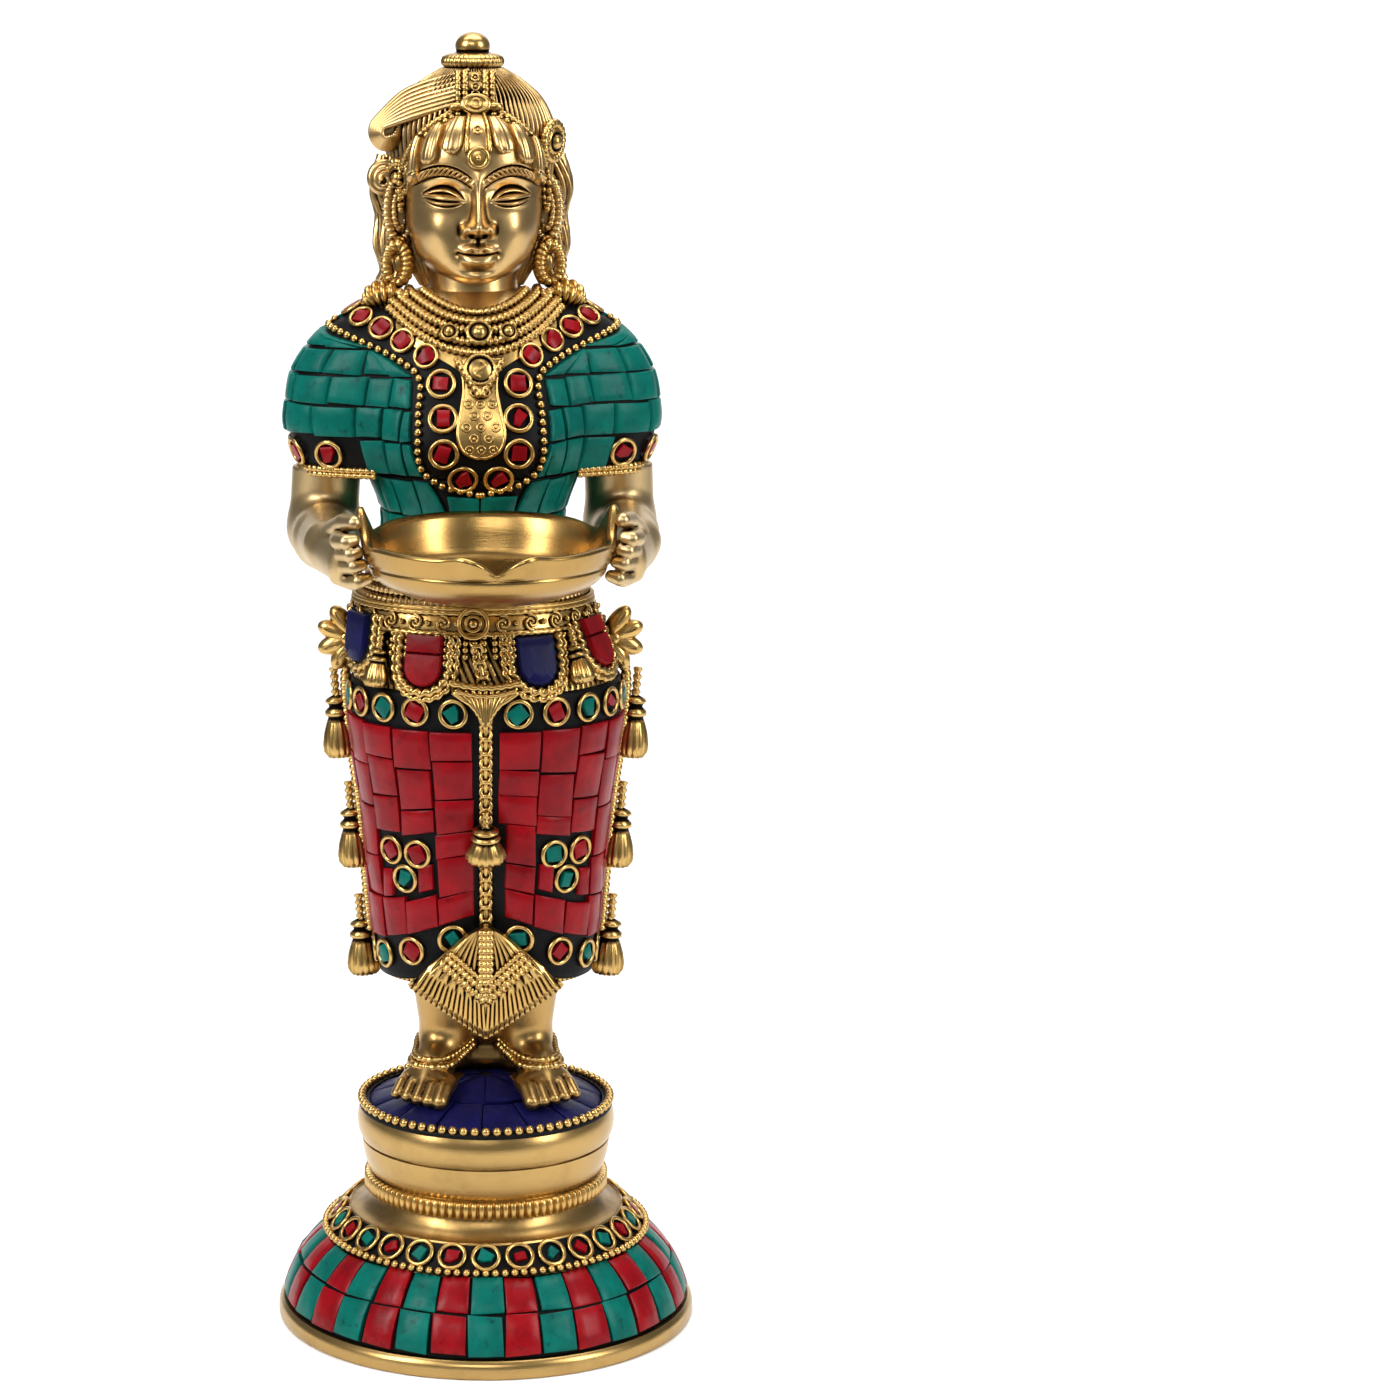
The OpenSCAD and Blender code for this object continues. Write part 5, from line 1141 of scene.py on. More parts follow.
def apron():
    x, y, n = fan(*lattice(np.linspace(-1, 1, 241), np.linspace(0, 1, 80)))
    front, back = on_apron(x, y, n), on_apron(x, y, 0.2)
    M = Mesh(grid(front), grid(back))
    for edge in (np.s_[0], np.s_[-1], np.s_[:, -1], np.s_[:, 0]):
        M.add(grid(np.stack([front[edge], back[edge]], 1)))
    q = np.linspace(0, 0.98, 40)
    for at, r in ((0.645, 1.0), (0.56, 0.9), (0.49, 0.6)):
        for s in (-1, 1):
            x, y, n = fan(s * q, at - 0.17 * q)
            M.add(cord(on_apron(x, y, 2.75), r, 9, 0.28, 0.36))
    for x, r in ((-1.0, 0.8), (1.0, 0.8), (0, 0.9)):
        M.add(cord(on_apron(x, np.linspace(15.6, -1.5, 40), 2.6), r, 9, 0.28, 0.34))
    return M


piece("front_chain", front_chain())
piece("apron", apron())


# Trunk: angles in degrees, the back seam left bare

SEAM = 76.0
YOKE_W = 14.4
YOKE = [[YOKE_Z, 0.3]] + [[YOKE_Z + h, YOKE_W * k] for h, k in (
    (2.4, 0.62), (7, 0.97), (18, 1), (27, 0.98), (31, 1.35), (34.5, 1.9), (38, 2.5))]
YOKE_RINGS = np.array([[3.9, 4.3], [8.2, 10.2], [8.2, 17.7], [8.3, 25.2], [11.3, 31.2], [16.2, 34.2],
                       [20.8, 36.7], [25.0, 38.8], [29.0, 40.2]])
COURSES = [187.2, 196.2, 205.4, 206, 214.2, 221.6, 228.4, 234.2, 238.6, 241.6]
PANEL_W = [[0, 0.6], [0.03, 2.4], [0.08, 3.9], [0.16, 4.8], [0.28, 5.1], [0.5, 4.2], [0.7, 3.5],
           [0.85, 3.8], [1, 5.0]]
NECKLACES = [(10.4, 242.9, 247.0, 0.85), (13.4, 240.9, 246.7, 0.95), (16.0, 238.8, 246.0, 1.0),
             (17.8, 236.5, 244.9, 0.95), (18.6, 234.2, 243.4, 0.85)]  # half width, front and side z, radius
BOSS_Z, PENDANT_Z = 238.4, 230.4


def figure_torso():
    z = np.concatenate([np.linspace(TORSO_Z, SLEEVE_Z - 0.3, 36), np.linspace(SLEEVE_Z, NECK_Z, 60)])
    top = on_torso(turn_degrees(240), NECK_Z, 0.0)
    M = Mesh(grid(on_torso(*lattice(turn_degrees(240), z), 0.0), True))
    M.add(grid(np.stack([top, top * [0.5, 0.5, 1]], 1), True))
    for k in range(5):
        roll = on_torso(turn_degrees(480), TORSO_Z + 1.6 + 2 * k, 0.4)
        M.add(tube(roll, 0.85, 8, True, ribs=0.3, pitch=1.6))
    return M


def yoke_angle(z):
    return float(front_angle(curve(z, YOKE) + 0.5, z))


def blouse_mosaic():
    """Tiles of one half: two courses at the waist, six over the chest and sleeve, cut to the yoke."""
    M = Mesh()
    middle = -89.7
    for j, (z0, z1) in enumerate(zip(COURSES[:2] + COURSES[3:-1], COURSES[1:3] + COURSES[4:])):
        n = 10 if j < 2 else 14
        lines = np.linspace(-90, SEAM, n + 1) + rng.uniform(-5, 5) * (j > 0)
        lines[0], lines[-1] = -90, SEAM
        e0 = yoke_angle(z0) if j > 1 else middle
        for a0, a1 in zip(lines[:-1], lines[1:]):
            e1 = yoke_angle(z1) if j else middle
            over_ring_band = j == 2 and abs((a0 + a1) / 2) < 27
            if over_ring_band or (a1 < max(e0, e1) + 1.2 and a1 < min(e0, e1) + 3):
                continue
            top = z1
            if j == 1 and a1 < e1 + 2:
                top, e1 = YOKE_Z, e0
            gap = 0.72 if abs(a0) > 40 else 0.5
            outline = np.array([[max(a0 + gap, e0), z0 + 0.36], [max(a1 - gap, e0 + 0.9), z0 + 0.36],
                                [max(a1 - gap, e1 + 0.9), top - 0.36], [max(a0 + gap, e1), top - 0.36]])
            outline = outline + rng.uniform(-1, 1, (4, 2)) * [0.5, 0.3]
            M.add(tile(on_torso, outline, BED - 0.1, 0.16, n=5))
    return M


def yoke_beads():
    z = YOKE_Z + np.concatenate([np.linspace(0.3, 2.2, 30), np.linspace(2.3, 38, 120)])
    edge = on_front(np.maximum(curve(z, YOKE) - 1.1, 0), z, LAC + 0.75)
    M = both(Mesh(beads(even(edge, 2.12), 1.8)))
    for start in (12, 104):
        M.add(beads(on_torso(np.linspace(start, start + 64, 22), 240.5, LAC + 0.75), 1.75))
    return M


def on_panel(u, v, d):
    return on_front(u * curve(v, PANEL_W), YOKE_Z + 9 + 22 * v, d)


def bodice_panel():
    M = Mesh(plate(on_panel, (-1, 1), (0, 1), 0.4, LAC + 1.1, 30, 60))
    bosses = [(i * 0.62 + 0.31 * (j % 2), 0.09 + j * 0.115) for j in range(6) for i in (-1, 0, 1)]
    u, v = np.array([at for at in bosses if abs(at[0]) < 0.7]).T
    across = on_panel(u + 0.02, v, 2.0) - on_panel(u - 0.02, v, 2.0)
    N = unit(np.cross(across, on_panel(u, v + 0.01, 2.0) - on_panel(u, v - 0.01, 2.0)))
    X = unit(np.cross([0, 0, 1.0], N))
    for template, size in ((torus(0.9, 0.27, 20, 7), 1), (BALL2, 0.42)):
        M.add(place(template, on_panel(u, v, LAC + 1.15), X, np.cross(N, X), N, size))
    v = np.linspace(0, 1, 60)
    for edge in (on_panel(-0.98, v, LAC + 1.0), on_panel(0.98, v, LAC + 1.0),
                 on_panel(np.linspace(-1, 1, 20), 0.01, LAC + 1.0)):
        M.add(tube(even(edge, 0.4), 0.42, 7))
    return M


def necklaces():
    U, Z = lattice(np.linspace(-1, 1, 60), np.linspace(229.5, 243.2, 40))
    M = Mesh(grid(on_front(U * np.clip(curve(Z, YOKE) - 10.6, 4.2, 17.4), Z, LAC + 0.3)))
    for half, front, side, r in NECKLACES:
        x = np.linspace(-half, half, 160)
        z = front + (side - front) * np.abs(x / half) ** 2.1
        M.add(cord(on_front(x, z, LAC + 0.75), r, 10, 0.22, 0.34))
    return M


def medal(r, h):
    outline = ((0.25, 0.97), (0.5, 0.8), (0.62, 0.5), (0.7, 0.45), (0.86, 0.62), (1, 0.4), (1, 0))
    V, F = torus(r * 0.9, r * 0.16, 48, 7, 14, 0.3)
    return Mesh(revolve([(0.02, h)] + [(r * a, h * b) for a, b in outline], 40), (V + [0, 0, h * 0.3], F))


def pendant():
    O, *axes = spot(on_torso, front_angle(0, PENDANT_Z), PENDANT_Z, LAC + 1.3)
    X, Y, N = axes
    outline = [(0.02, 1.2), (2.3, 1.15), (2.6, 0.9), (2.9, 0.95), (3.2, 1.5), (3.6, 1.45), (3.85, 0.9),
               (3.85, 0)]
    M = Mesh(revolve(outline, 48, 24, [0, 0, 0, 0, 0.02, 0.03, 0.03, 0])).seated(O, *axes)
    t = np.linspace(-1, 1, 60)
    M.add(tube(drawn(O + N * 1.3, X, Y, 1.15 * np.sin(t * PI), 1.9 * t), 0.5, 7))
    t = np.linspace(0, 1, 30)
    for s in (-1, 1):
        M.add(cord(drawn(O + N * 0.5, X, Y, s * 5.2 * (1 - t), 2.2 - 8.4 * t), 0.8, 9, 0.25, 0.28, 1.4))
    return M.add(lump(O - Y * 4.7 + N * 0.3, (1.6, 1.7, 0.9), *axes))


def shoulder_curls():
    t = np.linspace(0, 1, 160)
    path = smooth_path([[24.9, -3.6, 243.9], [22.6, -4.8, 245.7], [19.8, -5.7, 246.5], [17.2, -6.2, 246.2],
                        [15.0, -6.6, 245.6]], len(t))
    radius = 0.9 + 1.9 * np.sin(PI * np.clip(t * 1.35, 0, 1)) ** 0.7 + 0.5 * ease((t - 0.7) * 4)
    M = Mesh(tube(path, radius, 16, ribs=0.2, pitch=1.5))
    return both(M.add(lump((24.6, -3.8, 244.2), (1.5, 1.2, 1.3))))


piece("figure_torso", figure_torso(), SKIN, top=True)
M = Mesh(plate(on_torso, (-180 - SEAM, SEAM), (187, SLEEVE_Z - 0.4), -0.3, LAC, 180, 24))
M.add(plate(on_torso, (-180 - SEAM, SEAM), (SLEEVE_Z, 243), -0.3, LAC, 240, 46))
piece("blouse_lac", M, LACQUER, top=True)
piece("blouse_tiles", Mesh(blouse_mosaic(), blouse_mosaic().moved(flip)), TURQUOISE, CREASE, True)
piece("yoke_beads", yoke_beads(), top=True)

rings, seats = Mesh(), []
size = np.where(np.arange(len(YOKE_RINGS)) < 4, 1.0, 0.86)[:, None]
for s in (1, -1):
    z = YOKE_Z + YOKE_RINGS[:, 1]
    O, X, Y, N = seat(on_torso, front_angle(s * YOKE_RINGS[:, 0], z), z, LAC + 0.1)
    rings.add(place(RING, O + N * WIRE / 2, X * size, Y * size, N))
    seats += zip(O, X, Y, N)
piece("yoke_rings", rings, top=True)
piece("yoke_chips", chips(seats, 3.6, 1.1), CORAL, CHIP_EDGE, True)

rings, seats = Mesh(), []
for mirror in ([1, 1, 1], [-1, 1, 1]):
    axes = seat(on_torso, (np.arange(4) - 1.5) * 12.4, SLEEVE_Z + BAND / 2, LAC + 0.2)
    O, X, Y, N = (e * mirror for e in axes)
    rings.add(place(RING, O + N * WIRE / 2, X, Y, N))
    seats += zip(O, X, Y, N)
hem = on_torso(np.linspace(-33, 33, 240), SLEEVE_Z + 0.25, LAC + 0.5)
for mirror in ([1, 1, 1], [-1, 1, 1]):
    for lift, r in ((0.2, 0.75), (-1.0, 0.6)):
        rings.add(cord((hem + [0, 0, lift]) * mirror, r, ribs=0.25))
piece("sleeve_rings", rings, top=True)
piece("sleeve_chips", chips(seats, 3.6, 1.1), CORAL, CHIP_EDGE, True)

piece("bodice_panel", bodice_panel(), top=True)
piece("necklaces", necklaces(), top=True)
M = Mesh()
for x, r in ((-5.8, 2.0), (0, 2.9), (5.8, 2.0)):
    M.add(medal(r, 2.4).seated(*spot(on_torso, front_angle(x, BOSS_Z), BOSS_Z, LAC + 1.4)))
piece("neck_bosses", M, top=True)
piece("pendant", pendant(), top=True)
piece("shoulder_curls", shoulder_curls(), top=True)


# Arms and bowl

def by_bowl(angle, e, gap):
    """A point off the outside of the bowl, e below its rim and gap away from its wall."""
    k = float((bowl_out(e + 0.2) - bowl_out(e - 0.2)) / 0.4)
    l = math.hypot(1, k)
    x, y, z = polar(float(bowl_out(e)) + gap / l, angle, BOWL_Z - e + gap * k / l)
    return x, -REACH - y, z


def arm_field(P):
    elbow, fore, wrist = (34.7, 2.6, 191.2), (34.6, -12, 191.0), (34.6, -32.5, 192.6)
    palm = by_bowl(-5, 2.2, 4.4)
    heel = (palm[0] + 0.6, palm[1], palm[2] - 3.2)
    D = cone(P, (33.9, -0.5, 208), elbow, 7.9, 8.0)
    for a, b, ra, rb, k in ((elbow, fore, 7.9, 7.3, 3), (fore, wrist, 7.3, 5.1, 2),
                            (wrist, palm, 5.0, 3.9, 3), ((34.4, -36, 190.0), heel, 3.6, 3.2, 2.5)):
        D = blend(D, cone(P, a, b, ra, rb), k)
    joint, tip = (BOWL_R + 3.6, -REACH + 4.2, BOWL_Z + 3.6), (BOWL_R + 1.6, -REACH - 1.6, BOWL_Z + 4.4)
    thumb = np.minimum(cone(P, (33.8, -39, 196.4), joint, 2.7, 2.1), cone(P, joint, tip, 2.1, 1.7))
    D = blend(D, thumb, 1.0)
    for k in range(4):
        drop = 2.75 * k
        e = drop - 1.6
        bones = [(palm[0] + 1.6, palm[1] + 0.4, palm[2] + 3.6 - drop), by_bowl(1, e, 4.6), by_bowl(7, e, 3.4),
                 by_bowl(6, e + 0.3, 1.6)]
        radii = [2.0, 1.9, 1.7, 1.4]
        finger = [cone(P, bones[i], bones[i + 1], radii[i], radii[i + 1]) for i in range(3)]
        D = blend(D, np.minimum(finger[0], np.minimum(finger[1], finger[2])), 0.35)
    return np.maximum(D, P[..., 2] - 206.2)


def oil_bowl():
    """The bowl's section is rows of radius, height over the rim and share of the rim's waves."""
    th = turn(300)
    front = np.angle(np.exp(1j * (th + PI / 2)))
    away = np.abs(front)
    side = np.abs(away - PI / 2 - 0.12)
    lip = -3.4 * np.exp(-(away / 0.1) ** 1.4) + 1.0 * bell(away - 0.27, 0.15) + 6.0 * bell(side, 0.15)
    lip = lip - 0.9 * bell(side - 0.34, 0.2) + 0.9 + 1.4 * np.sin(th)
    bulge = 1.9 * bell(away - 0.2, 0.15) - 1.1 * bell(front, 0.07) + 0.9 * bell(side, 0.12)
    rows = []
    for t in np.linspace(0, 1, 26):
        e = BOWL_DEPTH - (BOWL_DEPTH - BOWL_BAND) * (1 - math.cos(t * PI / 2))
        rows.append((max(float(bowl_out(e)), 0.02), -e, 0.0))
    for e, k in ((4.9, 0.0), (4.6, 0.5), (3.5, 0.7), (2, 0.85), (0.8, 1), (0.2, 1)):
        rows.append((float(bowl_out(e)) + (0.35 if e < 4.8 else -0.25), -e, k))
    rows += [(BOWL_R - 0.3, 0.25, 1), (BOWL_R - 1.2, 0.2, 1)]
    rows += [(float(bowl_out(e)) - 1.9, -e, k) for e, k in ((0.8, 1), (3, 0.7), (5.4, 0.3))]
    for t in np.linspace(0.06, 1, 22) * PI / 2:
        rows.append((max((BOWL_R - 3.6) * math.cos(t), 0.02), -5.4 - (BOWL_DEPTH - 7.2) * math.sin(t), 0.0))
    r, z, share = np.array(rows).T
    r = r + bulge[:, None] * share
    z = BOWL_Z + z + lip[:, None] * share * np.clip(1 + z / 4.5, 0, 1)
    return grid(vec(r * np.cos(th)[:, None], r * np.sin(th)[:, None] - REACH, z), True)


V, F = nets(arm_field, (16, -72, 176), (45, 12, 207), 0.42)
piece("left_arm", (V, F), SATIN, top=True)
piece("right_arm", (flip(V), F), SATIN, top=True)
piece("oil_bowl", oil_bowl(), BOWL_BRASS, top=True)


# Head

# the forelocks: half width, angle from the middle, height of the top and of the tip
LOCKS = [(8.6, 20, 37.2, 28.9), (8.2, 39, 35.4, 26.4), (6.6, 57, 32.5, 21.8)]
STRAND = [[17.0, 3.4, 27], [19.2, 3.2, 20], [18.0, 3, 14], [18.8, 2.6, 7], [17.4, 2, 1.5], [18.6, 1, -1.5]]
OVER_FACE = np.array([0, 0, HEAD_Z])


def forelocks():
    M = Mesh()
    S, T = lattice(np.linspace(0, 1, 40), np.linspace(-1, 1, 21))
    for side in (-1, 1):
        for q, (half, angle, top, tip) in list(enumerate(LOCKS))[::side]:
            w = np.where(S > 0.7, cap((S - 0.7) / 0.3), 1) * half * (0.74 + 0.2 * ease(S * 2))
            end = np.where(S > 0.8, cap((S - 0.8) / 0.2) ** 0.5, 1)
            d = -0.4 + (2.95 - 0.3 * q) * cap(T) ** 0.4 * end + 0.14 * np.cos(T * 9)
            M.add(grid(on_face(-90 + side * (angle - 3 * (1 - S)) + w * T, top + (tip - top) * S, d)))
    S, T = lattice(np.linspace(37.6, 29.3, 40), np.linspace(-1, 1, 13))
    return M.add(grid(on_face(-90 + T * 8.4, S, 1.0 * cap(T) ** 0.2 - 0.1)))


def ears_and_strands():
    M = Mesh()
    t = turn(140)
    for s in (1, -1):
        for w, h, r, y in ((2.9, 7.0, 1.15, -1.4), (1.3, 4.2, 0.7, -1.9)):
            ear = vec(s * (16.9 + w * np.cos(t)), y - 0.9 * np.cos(t), 15.4 + h * np.sin(t))
            M.add(tube(ear + OVER_FACE, r, 9, True, ribs=0.2, pitch=1.3))
        M.add(lump(OVER_FACE + [s * 16.6, -0.6, 15.2], (2.6, 1.4, 6.0)))
        for dx, dy in ((0.4, 0), (1.9, 1.4), (-1.2, 2.2)):
            path = (smooth_path(np.array(STRAND) + [dx, dy, 0], 90) + OVER_FACE) * [s, 1, 1]
            M.add(tube(path, np.linspace(2.5, 1.7, 90), 36, strands=6, pitch=16, amp=0.2))
    return M


def side_knot():
    """Hair swept out to the left into a curl; f runs from its upper to its lower edge."""
    def sweep(f, lift, low_lift, middle, end):
        start = on_hair(-100.0 - 10 * f, 47.2 - 7.6 * f, lift)
        low = on_hair(-146.0, 36.4, low_lift)
        return np.vstack([start, (1 - f) * (OVER_FACE + middle) + f * low, OVER_FACE + end])
    M = Mesh()
    thickness = np.concatenate([np.linspace(0.55, 0.8, 60), np.linspace(0.8, 0.62, 60)])
    for f in np.arange(8) / 7:
        rho, th = 3.5 - 2.3 * f, np.radians(np.linspace(125, 430 - 110 * f, 9))
        y = -1.8 - 2.4 * f - 0.1 * np.arange(9)
        curl = vec(-19.8 + rho * np.cos(th), y, 33.2 + 1.1 * rho * np.sin(th))
        M.add(tube(smooth_path(sweep(f, 0.1, 1.2, [-14.8, -2.0, 42.6], curl), 120), thickness, 8))
    sheet = []
    for f in np.linspace(0, 1, 30):
        y = -1.6 - 2.4 * f
        end = np.array([[-21.6, y, 35.8 - 2.4 * f], [-20.4, y, 33.4 - 1.0 * f]])
        sheet.append(smooth_path(sweep(f, -0.3, 0.7, [-14.8, -1.6, 42.4], end), 30))
    M.add(grid(np.stack(sheet) + [0.3, 1.3, -0.5]))
    M.add(lump(OVER_FACE + [-19.8, -2.2, 33.2], (3.2, 1.6, 3.4)))
    # the small bun below it
    t = np.linspace(0, 1, 160)
    rho, th = 3.3 - 2.7 * t, 2.6 * 2 * PI * t
    bun = vec(-20.4 + rho * np.cos(th), 1.2 - 3.2 * t, 22.4 + 1.1 * rho * np.sin(th))
    M.add(tube(bun + OVER_FACE, 1.15 - 0.3 * t, 9))
    return M.add(lump(OVER_FACE + [-20.4, 1.6, 22.4], (3.6, 2.4, 3.9)))


def head():
    M = Mesh(grid(on_face(*lattice(np.linspace(-176, -4, 300), np.linspace(-1.6, 39, 280)), 0.0)))
    h = np.concatenate([np.linspace(-2.3, 44, 80), np.linspace(44.5, 47.5, 14)])
    A, H = lattice(turn_degrees(640), h)
    combed = np.abs(np.cos(np.radians(A) * 40 + 0.02 * H)) ** 0.6
    M.add(grid(on_hair(A, H, -0.75 + 0.95 * combed), True))
    neck = ((10.4, -0.2), (10.1, 3), (10.0, 7), (9.8, 12))
    M.add(revolve([(r, NECK_Z + h) for r, h in neck], 64))
    return M.add(forelocks()).add(ears_and_strands()).add(side_knot())


def crown_finial():
    outline = [(0.02, -1.2), (6.0, -1.2), (6.3, 0.2), (6.85, 0.8), (7.0, 1.6), (6.7, 2.5), (5.6, 3.1),
               (4.3, 3.35), (3.75, 3.5)]
    outline += [(4.0 * math.cos(t), 4.9 + 3.1 * math.sin(t)) for t in np.linspace(-0.33, 1.4, 16)]
    outline += [(0.3, 7.99), (0.02, 8.0)]
    milled = np.zeros(len(outline))
    milled[1:6] = (0.03, 0.04, 0.045, 0.04, 0.03)
    V, F = revolve(outline, 144, 36, milled)
    return V + [0, 0, CROWN_Z], F


def parting_strip():
    M = Mesh()
    h = np.linspace(46.8, 39.6, 60)
    for s in (-1, 1):
        for off, r in ((2.3, 0.8), (3.9, 0.7)):
            line = on_hair(-90.0, h, 0.7) + [s * off, 0.1 * off, 0]
            M.add(rope(line, r, 0.3, 9, strands=1, pitch=1.3, amp=0.26))
    S, T = lattice(np.linspace(-2.3, 2.3, 9), h)
    M.add(grid(on_hair(-90.0, T, 0.35) + vec(S, 0, 0)))
    small = seat(on_hair, -90, [45.6, 43.6, 41.8], 0.6)
    M.add(place(torus(0.85, 0.3, 20, 6), *small)).add(place(BALL, *small, size=0.36))
    # the clasp where the strip meets the hairline
    O, *axes = spot(on_hair, -90, 39.6, 1.2)
    X, Y, N = axes
    M.add(place(torus(2.2, 0.75, 40, 8), O + N * 0.6, X * 1.25, Y * 0.85, N))
    M.add(place(torus(1.0, 0.42, 26, 7), O + N * 1.0, *axes)).add(lump(O + N * 0.5, (2.6, 1.8, 0.8), *axes))
    for s in (-1, 1):
        M.add(lump(O + s * X * 4.3 - Y * 0.5, (1.9, 1.0, 1.2), *axes))
    # the strip on the forehead and its drop
    for s in (-1, 1):
        M.add(rope(on_face(-90 + s * 8.6, np.linspace(37.6, 29.6, 40), 0.9), 0.5, 0.3, 7, pitch=1.4))
    dot = spot(on_face, -90, 34.4, 0.95)
    M.add(place(torus(1.0, 0.32, 22, 6), *dot)).add(place(BALL, *dot, size=0.42))
    O, *axes = spot(on_face, -90, 28.2, 0.9)
    M.add(place(torus(2.1, 0.62, 36, 8), O + axes[2] * 0.3, *axes)).add(lump(O, (2.2, 2.2, 0.7), *axes))
    return M.add(lump(O + axes[2] * 0.5, 0.8, *axes))


def hairline_beads():
    t = np.linspace(0, 1, 60)
    line = on_face(-80 + 62 * t, 38.4 - 13.5 * t**1.7, 0.35) + [0, 0.5, 0]
    M = Mesh(beads(even(line, 1.75), 1.6))
    line = line + vec(t, 1.4, 1.1 - 0.4 * t)
    return both(M.add(rope(line, 0.75, 0.3, 9, strands=1, pitch=1.3, amp=0.26)))


def earrings():
    t = turn(200)
    hoop = OVER_FACE + vec(17.7 + 2.5 * np.cos(t), -3.4 - 0.5 * np.cos(t), 3.2 + 4.3 * np.sin(t))
    M = Mesh(tube(hoop, 1.35 + 0.25 * np.sin(t - 0.9), 12, True, ribs=0.13, pitch=1.25))
    M.add(lump(OVER_FACE + [17.3, -3.2, 3.4], (1.2, 0.9, 2.2)))
    return both(M.add(lump(OVER_FACE + [16.9, -2.6, 8.4], (1.5, 1.2, 1.3))))


def ear_flowers():
    M = Mesh()
    for a, h, r in ((-22, 31, 3.6), (-158, 23, 3.2)):
        O, X, Y, N = spot(on_hair, a, h, 0.9)
        M.add(medal(r * 0.8, 2.6).seated(O, X, Y, N))
        M.add(place(torus(r, 0.95, 72, 9, 20, 0.16), O + N * 0.5, X, Y * 1.12, N))
    t = turn(16)
    for s in (1, -1):
        ring = vec(s * 0.54 * np.cos(t), -1.33 * np.cos(t), 4.6 * np.sin(t))
        M.add(beads(OVER_FACE + [s * 16.6, -4.2, 20] + ring, 1.35))
    return M


def plait():
    M = Mesh()
    for k in range(22):
        s = 1 if k % 2 else -1
        r = 1 - k * 0.014
        O, X, Y, N = spot(on_torso, 90, 239.0 - k * 2.55, 1.1)
        across = unit(X * 0.8 - s * 0.6 * Y)
        size = np.array([3.3, 2.1, 2.3]) * r
        M.add(lump(O - s * X * 1.5 * r, size, across, np.cross(N, across), N))
    O, X, Y, N = spot(on_torso, 90, 185.5, 0.2)
    return M.add(tassel(9.5, 5.0).seated(O + Y * 2, X, Y, N))


piece("head", head(), SKIN, top=True)
for make in (crown_finial, parting_strip, hairline_beads, earrings, ear_flowers, plait):
    piece(make.__name__, make(), top=True)

for node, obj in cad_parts.items():
    if node.startswith("fixing"):
        obj.data.materials.clear()
        steel = mottled("steel_" + node, (0.42, 0.42, 0.43), (0.58, 0.58, 0.6), 400, (0.3, 0.7),
                        {"Metallic": 1, "Roughness": 0.35})
        obj.data.materials.append(steel)


# Cavity: a value on each vertex, for the patina in the recesses and for painted shade where surface crowds in
# front

CASTINGS = (SKIN, TURNED, SATIN, FOOT_BRASS, BOWL_BRASS)  # the patina and painted shade are scaled to what these show
CELL = 0.6
BOX_LOW, BOX_HIGH = np.array([-52.0, -86.0, -3.0]), np.array([52.0, 54.0, 309.0])
BOX_CELLS = np.ceil((BOX_HIGH - BOX_LOW) / CELL).astype(int)


def read(items, key, width, kind=np.float32):
    values = np.empty(len(items) * width, kind)
    items.foreach_get(key, values)
    return values.reshape(-1, width)


def cells(P):
    return tuple(np.clip(((P - BOX_LOW) / CELL).astype(int), 0, BOX_CELLS - 1).T)


def blur(A, r):
    for axis in range(3):
        total = np.cumsum(A, axis=axis, dtype=np.float32)
        before = np.repeat(np.take(total, [0], axis) * 0, r + 1, axis)
        after = np.repeat(np.take(total, [-1], axis), r, axis)
        P = np.concatenate([before, total, after], axis)
        m = A.shape[axis]
        A = (np.take(P, range(2 * r + 1, 2 * r + 1 + m), axis) - np.take(P, range(m), axis)) / (2 * r + 1)
    return A


def hollow(mesh, V, N, rounds):
    """How far each vertex lies below its smoothed surroundings."""
    a, b = read(mesh.edges, "vertices", 2, np.int32).T
    n = len(V)
    degree = np.maximum(np.bincount(a, minlength=n) + np.bincount(b, minlength=n), 1)
    W = V.astype(float)
    for _ in range(rounds):
        near = [(np.bincount(a, w[b], n) + np.bincount(b, w[a], n)) / degree for w in W.T]
        W = 0.4 * W + 0.6 * np.stack(near, 1)
    return np.clip(((W - V) * N).sum(1) / 0.2, -0.4, 1)


def cavities():
    """Adds up how much surface crowds in front of each vertex, near by and further off, as painted shade
    between and under parts, and adds the patina of hollows.
    """
    crowd = np.zeros(BOX_CELLS, np.float32)
    for made in PIECES:
        faces = made.data.polygons
        np.add.at(crowd, cells(read(faces, "center", 3) * 1000), read(faces, "area", 1)[:, 0] * 1e6)
    crowd = np.minimum(crowd, 3 * CELL * CELL)
    near, far = blur(blur(crowd, 1), 1), blur(blur(crowd, 3), 3)
    found = []
    for made in PIECES:
        V, N = read(made.data.vertices, "co", 3) * 1000, read(made.data.vertices, "normal", 3)
        dip = hollow(made.data, V, N, 26 if made.name == "v_head" else 9)
        # surface crowding in front of the vertex: painted shade; dip below the smoothed surface: patina in
        # hollows
        found.append((made.data, near[cells(V + N * 1.1)] + far[cells(V + N * 3.4)] * 1.5, dip))
    cast = np.concatenate([value for mesh, value, dip in found if mesh.materials[0] in CASTINGS])
    low, high = np.percentile(cast, 25), np.percentile(cast, 96)
    for mesh, value, dip in found:
        # painted shade from the crowding, plus real patina from the dip
        cavity = np.clip((value - low) / (high - low) * 0.75 + 0.7 * dip, 0, 1)
        attribute = mesh.attributes.new("cavity", "FLOAT", "POINT")
        attribute.data.foreach_set("value", cavity.astype(np.float32))


cavities()


# Stage, lights and camera, in metres

def put(name, data):
    made = bpy.data.objects.new(name, data)
    bpy.context.scene.collection.objects.link(made)
    return made


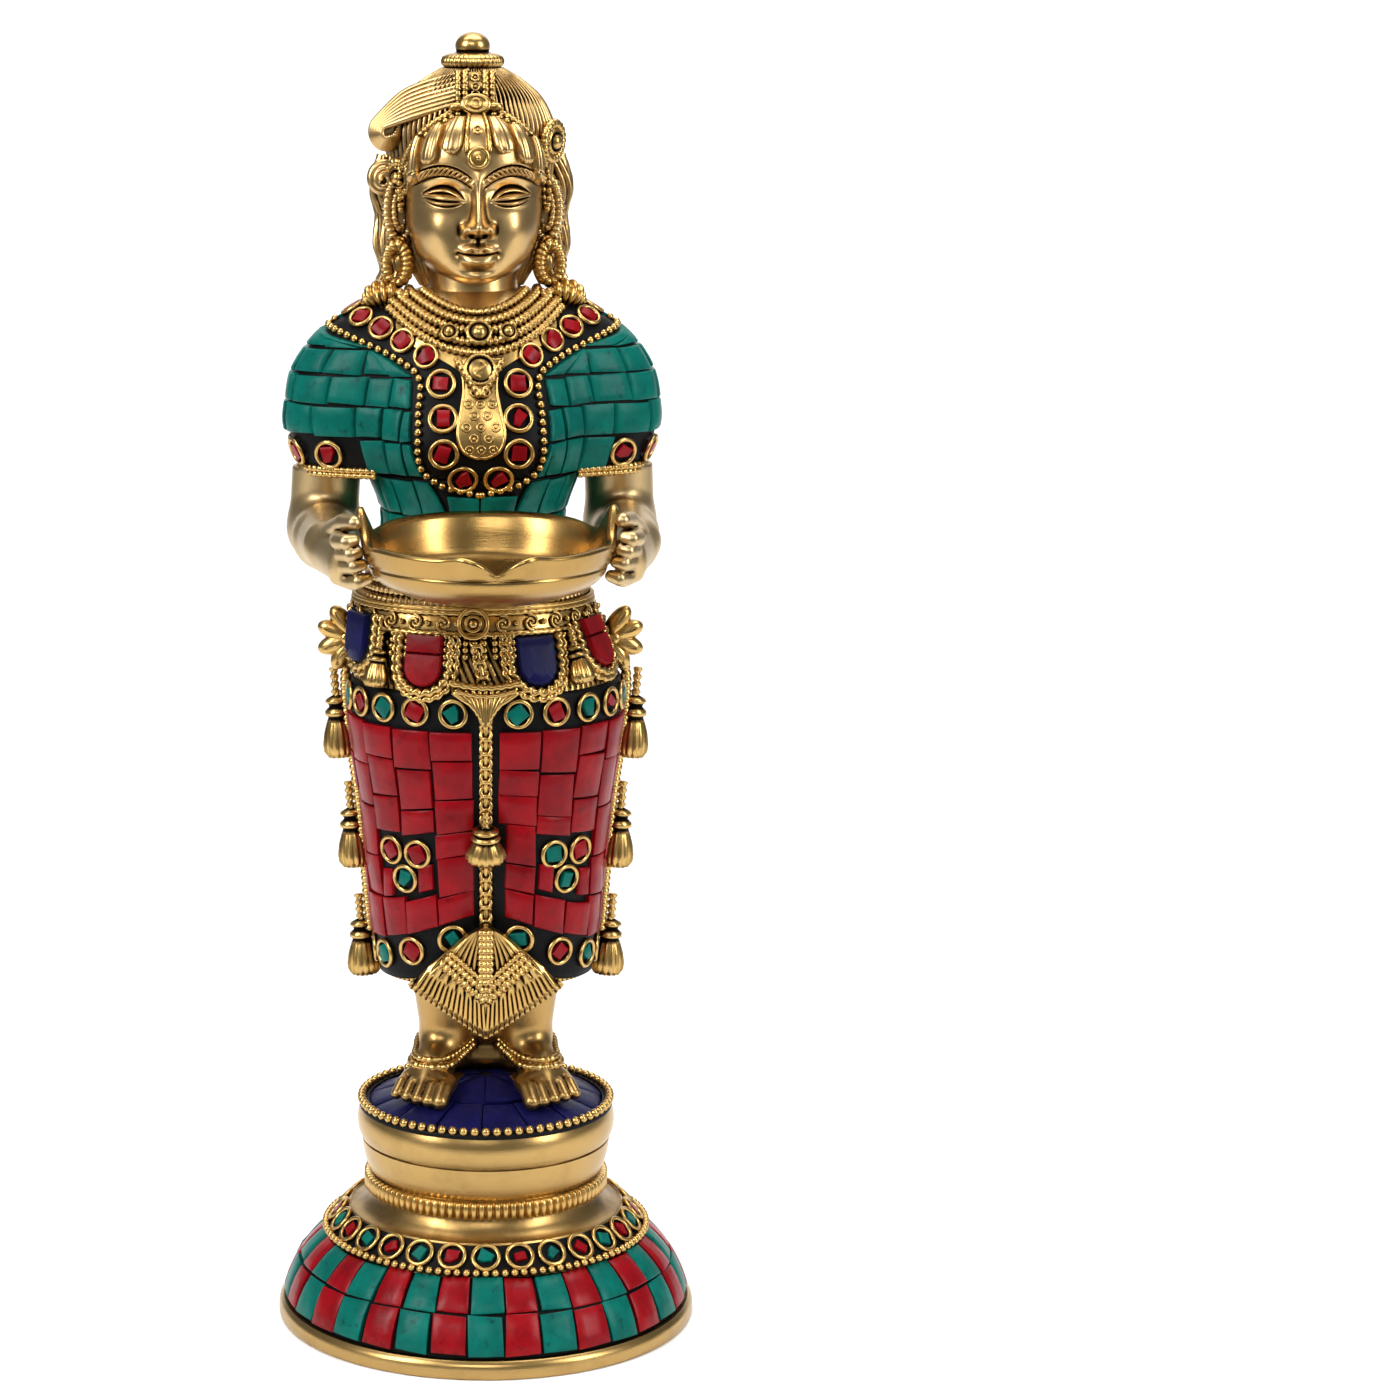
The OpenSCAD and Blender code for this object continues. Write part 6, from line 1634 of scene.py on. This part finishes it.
BEND_Y, BEND_R, WALL_TOP = 0.9, 0.5, 3.0
PALE = 0.9
bend = [(BEND_Y + BEND_R * math.sin(t), BEND_R - BEND_R * math.cos(t)) for t in np.linspace(0.1, PI / 2, 12)]
sweep = [(-0.3, 0.0), (BEND_Y, 0.0)] + bend + [(BEND_Y + BEND_R, WALL_TOP)]
V, F = grid(np.array([[(x, y, z) for y, z in sweep] for x in (-0.75, 0.95)]))
mesh = bpy.data.meshes.new("floor")
mesh.from_pydata(V.tolist(), [], F.tolist())
mesh.polygons.foreach_set("use_smooth", np.ones(len(F), bool))
mesh.materials.append(mottled("pale_floor", (PALE * 0.985,) * 3, (PALE,) * 3, 3, (0.0, 1.0),
                              {"Roughness": 0.7, "Specular IOR Level": 0.15}))
floor = put("floor", mesh)

for name, location, target, size, power in (("key", (-0.8, -0.6, 0.75), (0, 0, 0.15), (0.3, 0.7), 10.5),
                                            ("fill", (0.85, -0.55, 0.6), (0, 0, 0.15), (0.26, 0.7), 7.2),
                                            ("front", (-0.15, -1.5, 1.1), (0, 0, 0.15), (0.8, 0.5), 7),
                                            ("top", (0.1, 0.15, 1.3), (0, 0, 0.1), (0.9, 0.9), 6),
                                            ("back", (0.0, 0.3, 2.2), (0, 1.2, 0.6), (2.4, 1.0), 34)):
    light = bpy.data.lights.new(name, "AREA")
    light.shape = "RECTANGLE"
    light.size, light.size_y = size
    light.energy = power
    made = put(name, light)
    made.location = location
    made.rotation_euler = (Vector(target) - Vector(location)).to_track_quat("-Z", "Y").to_euler()
world = bpy.data.worlds.new("studio")
bpy.context.scene.world = world
world.use_nodes = True
world.node_tree.nodes["Background"].inputs["Color"].default_value = (0.92, 0.95, 1.0, 1)
world.node_tree.nodes["Background"].inputs["Strength"].default_value = 0.2

lens = bpy.data.cameras.new("camera")
lens.sensor_width = 36
lens.lens = 100.3
lens.shift_x = 0.153
camera = put("camera", lens)
camera.location = (0, -0.9, 0.33)
camera.rotation_euler = (math.radians(90 - 11.31), 0, 0)
bpy.context.scene.camera = camera
bpy.context.scene.view_settings.view_transform = "Standard"
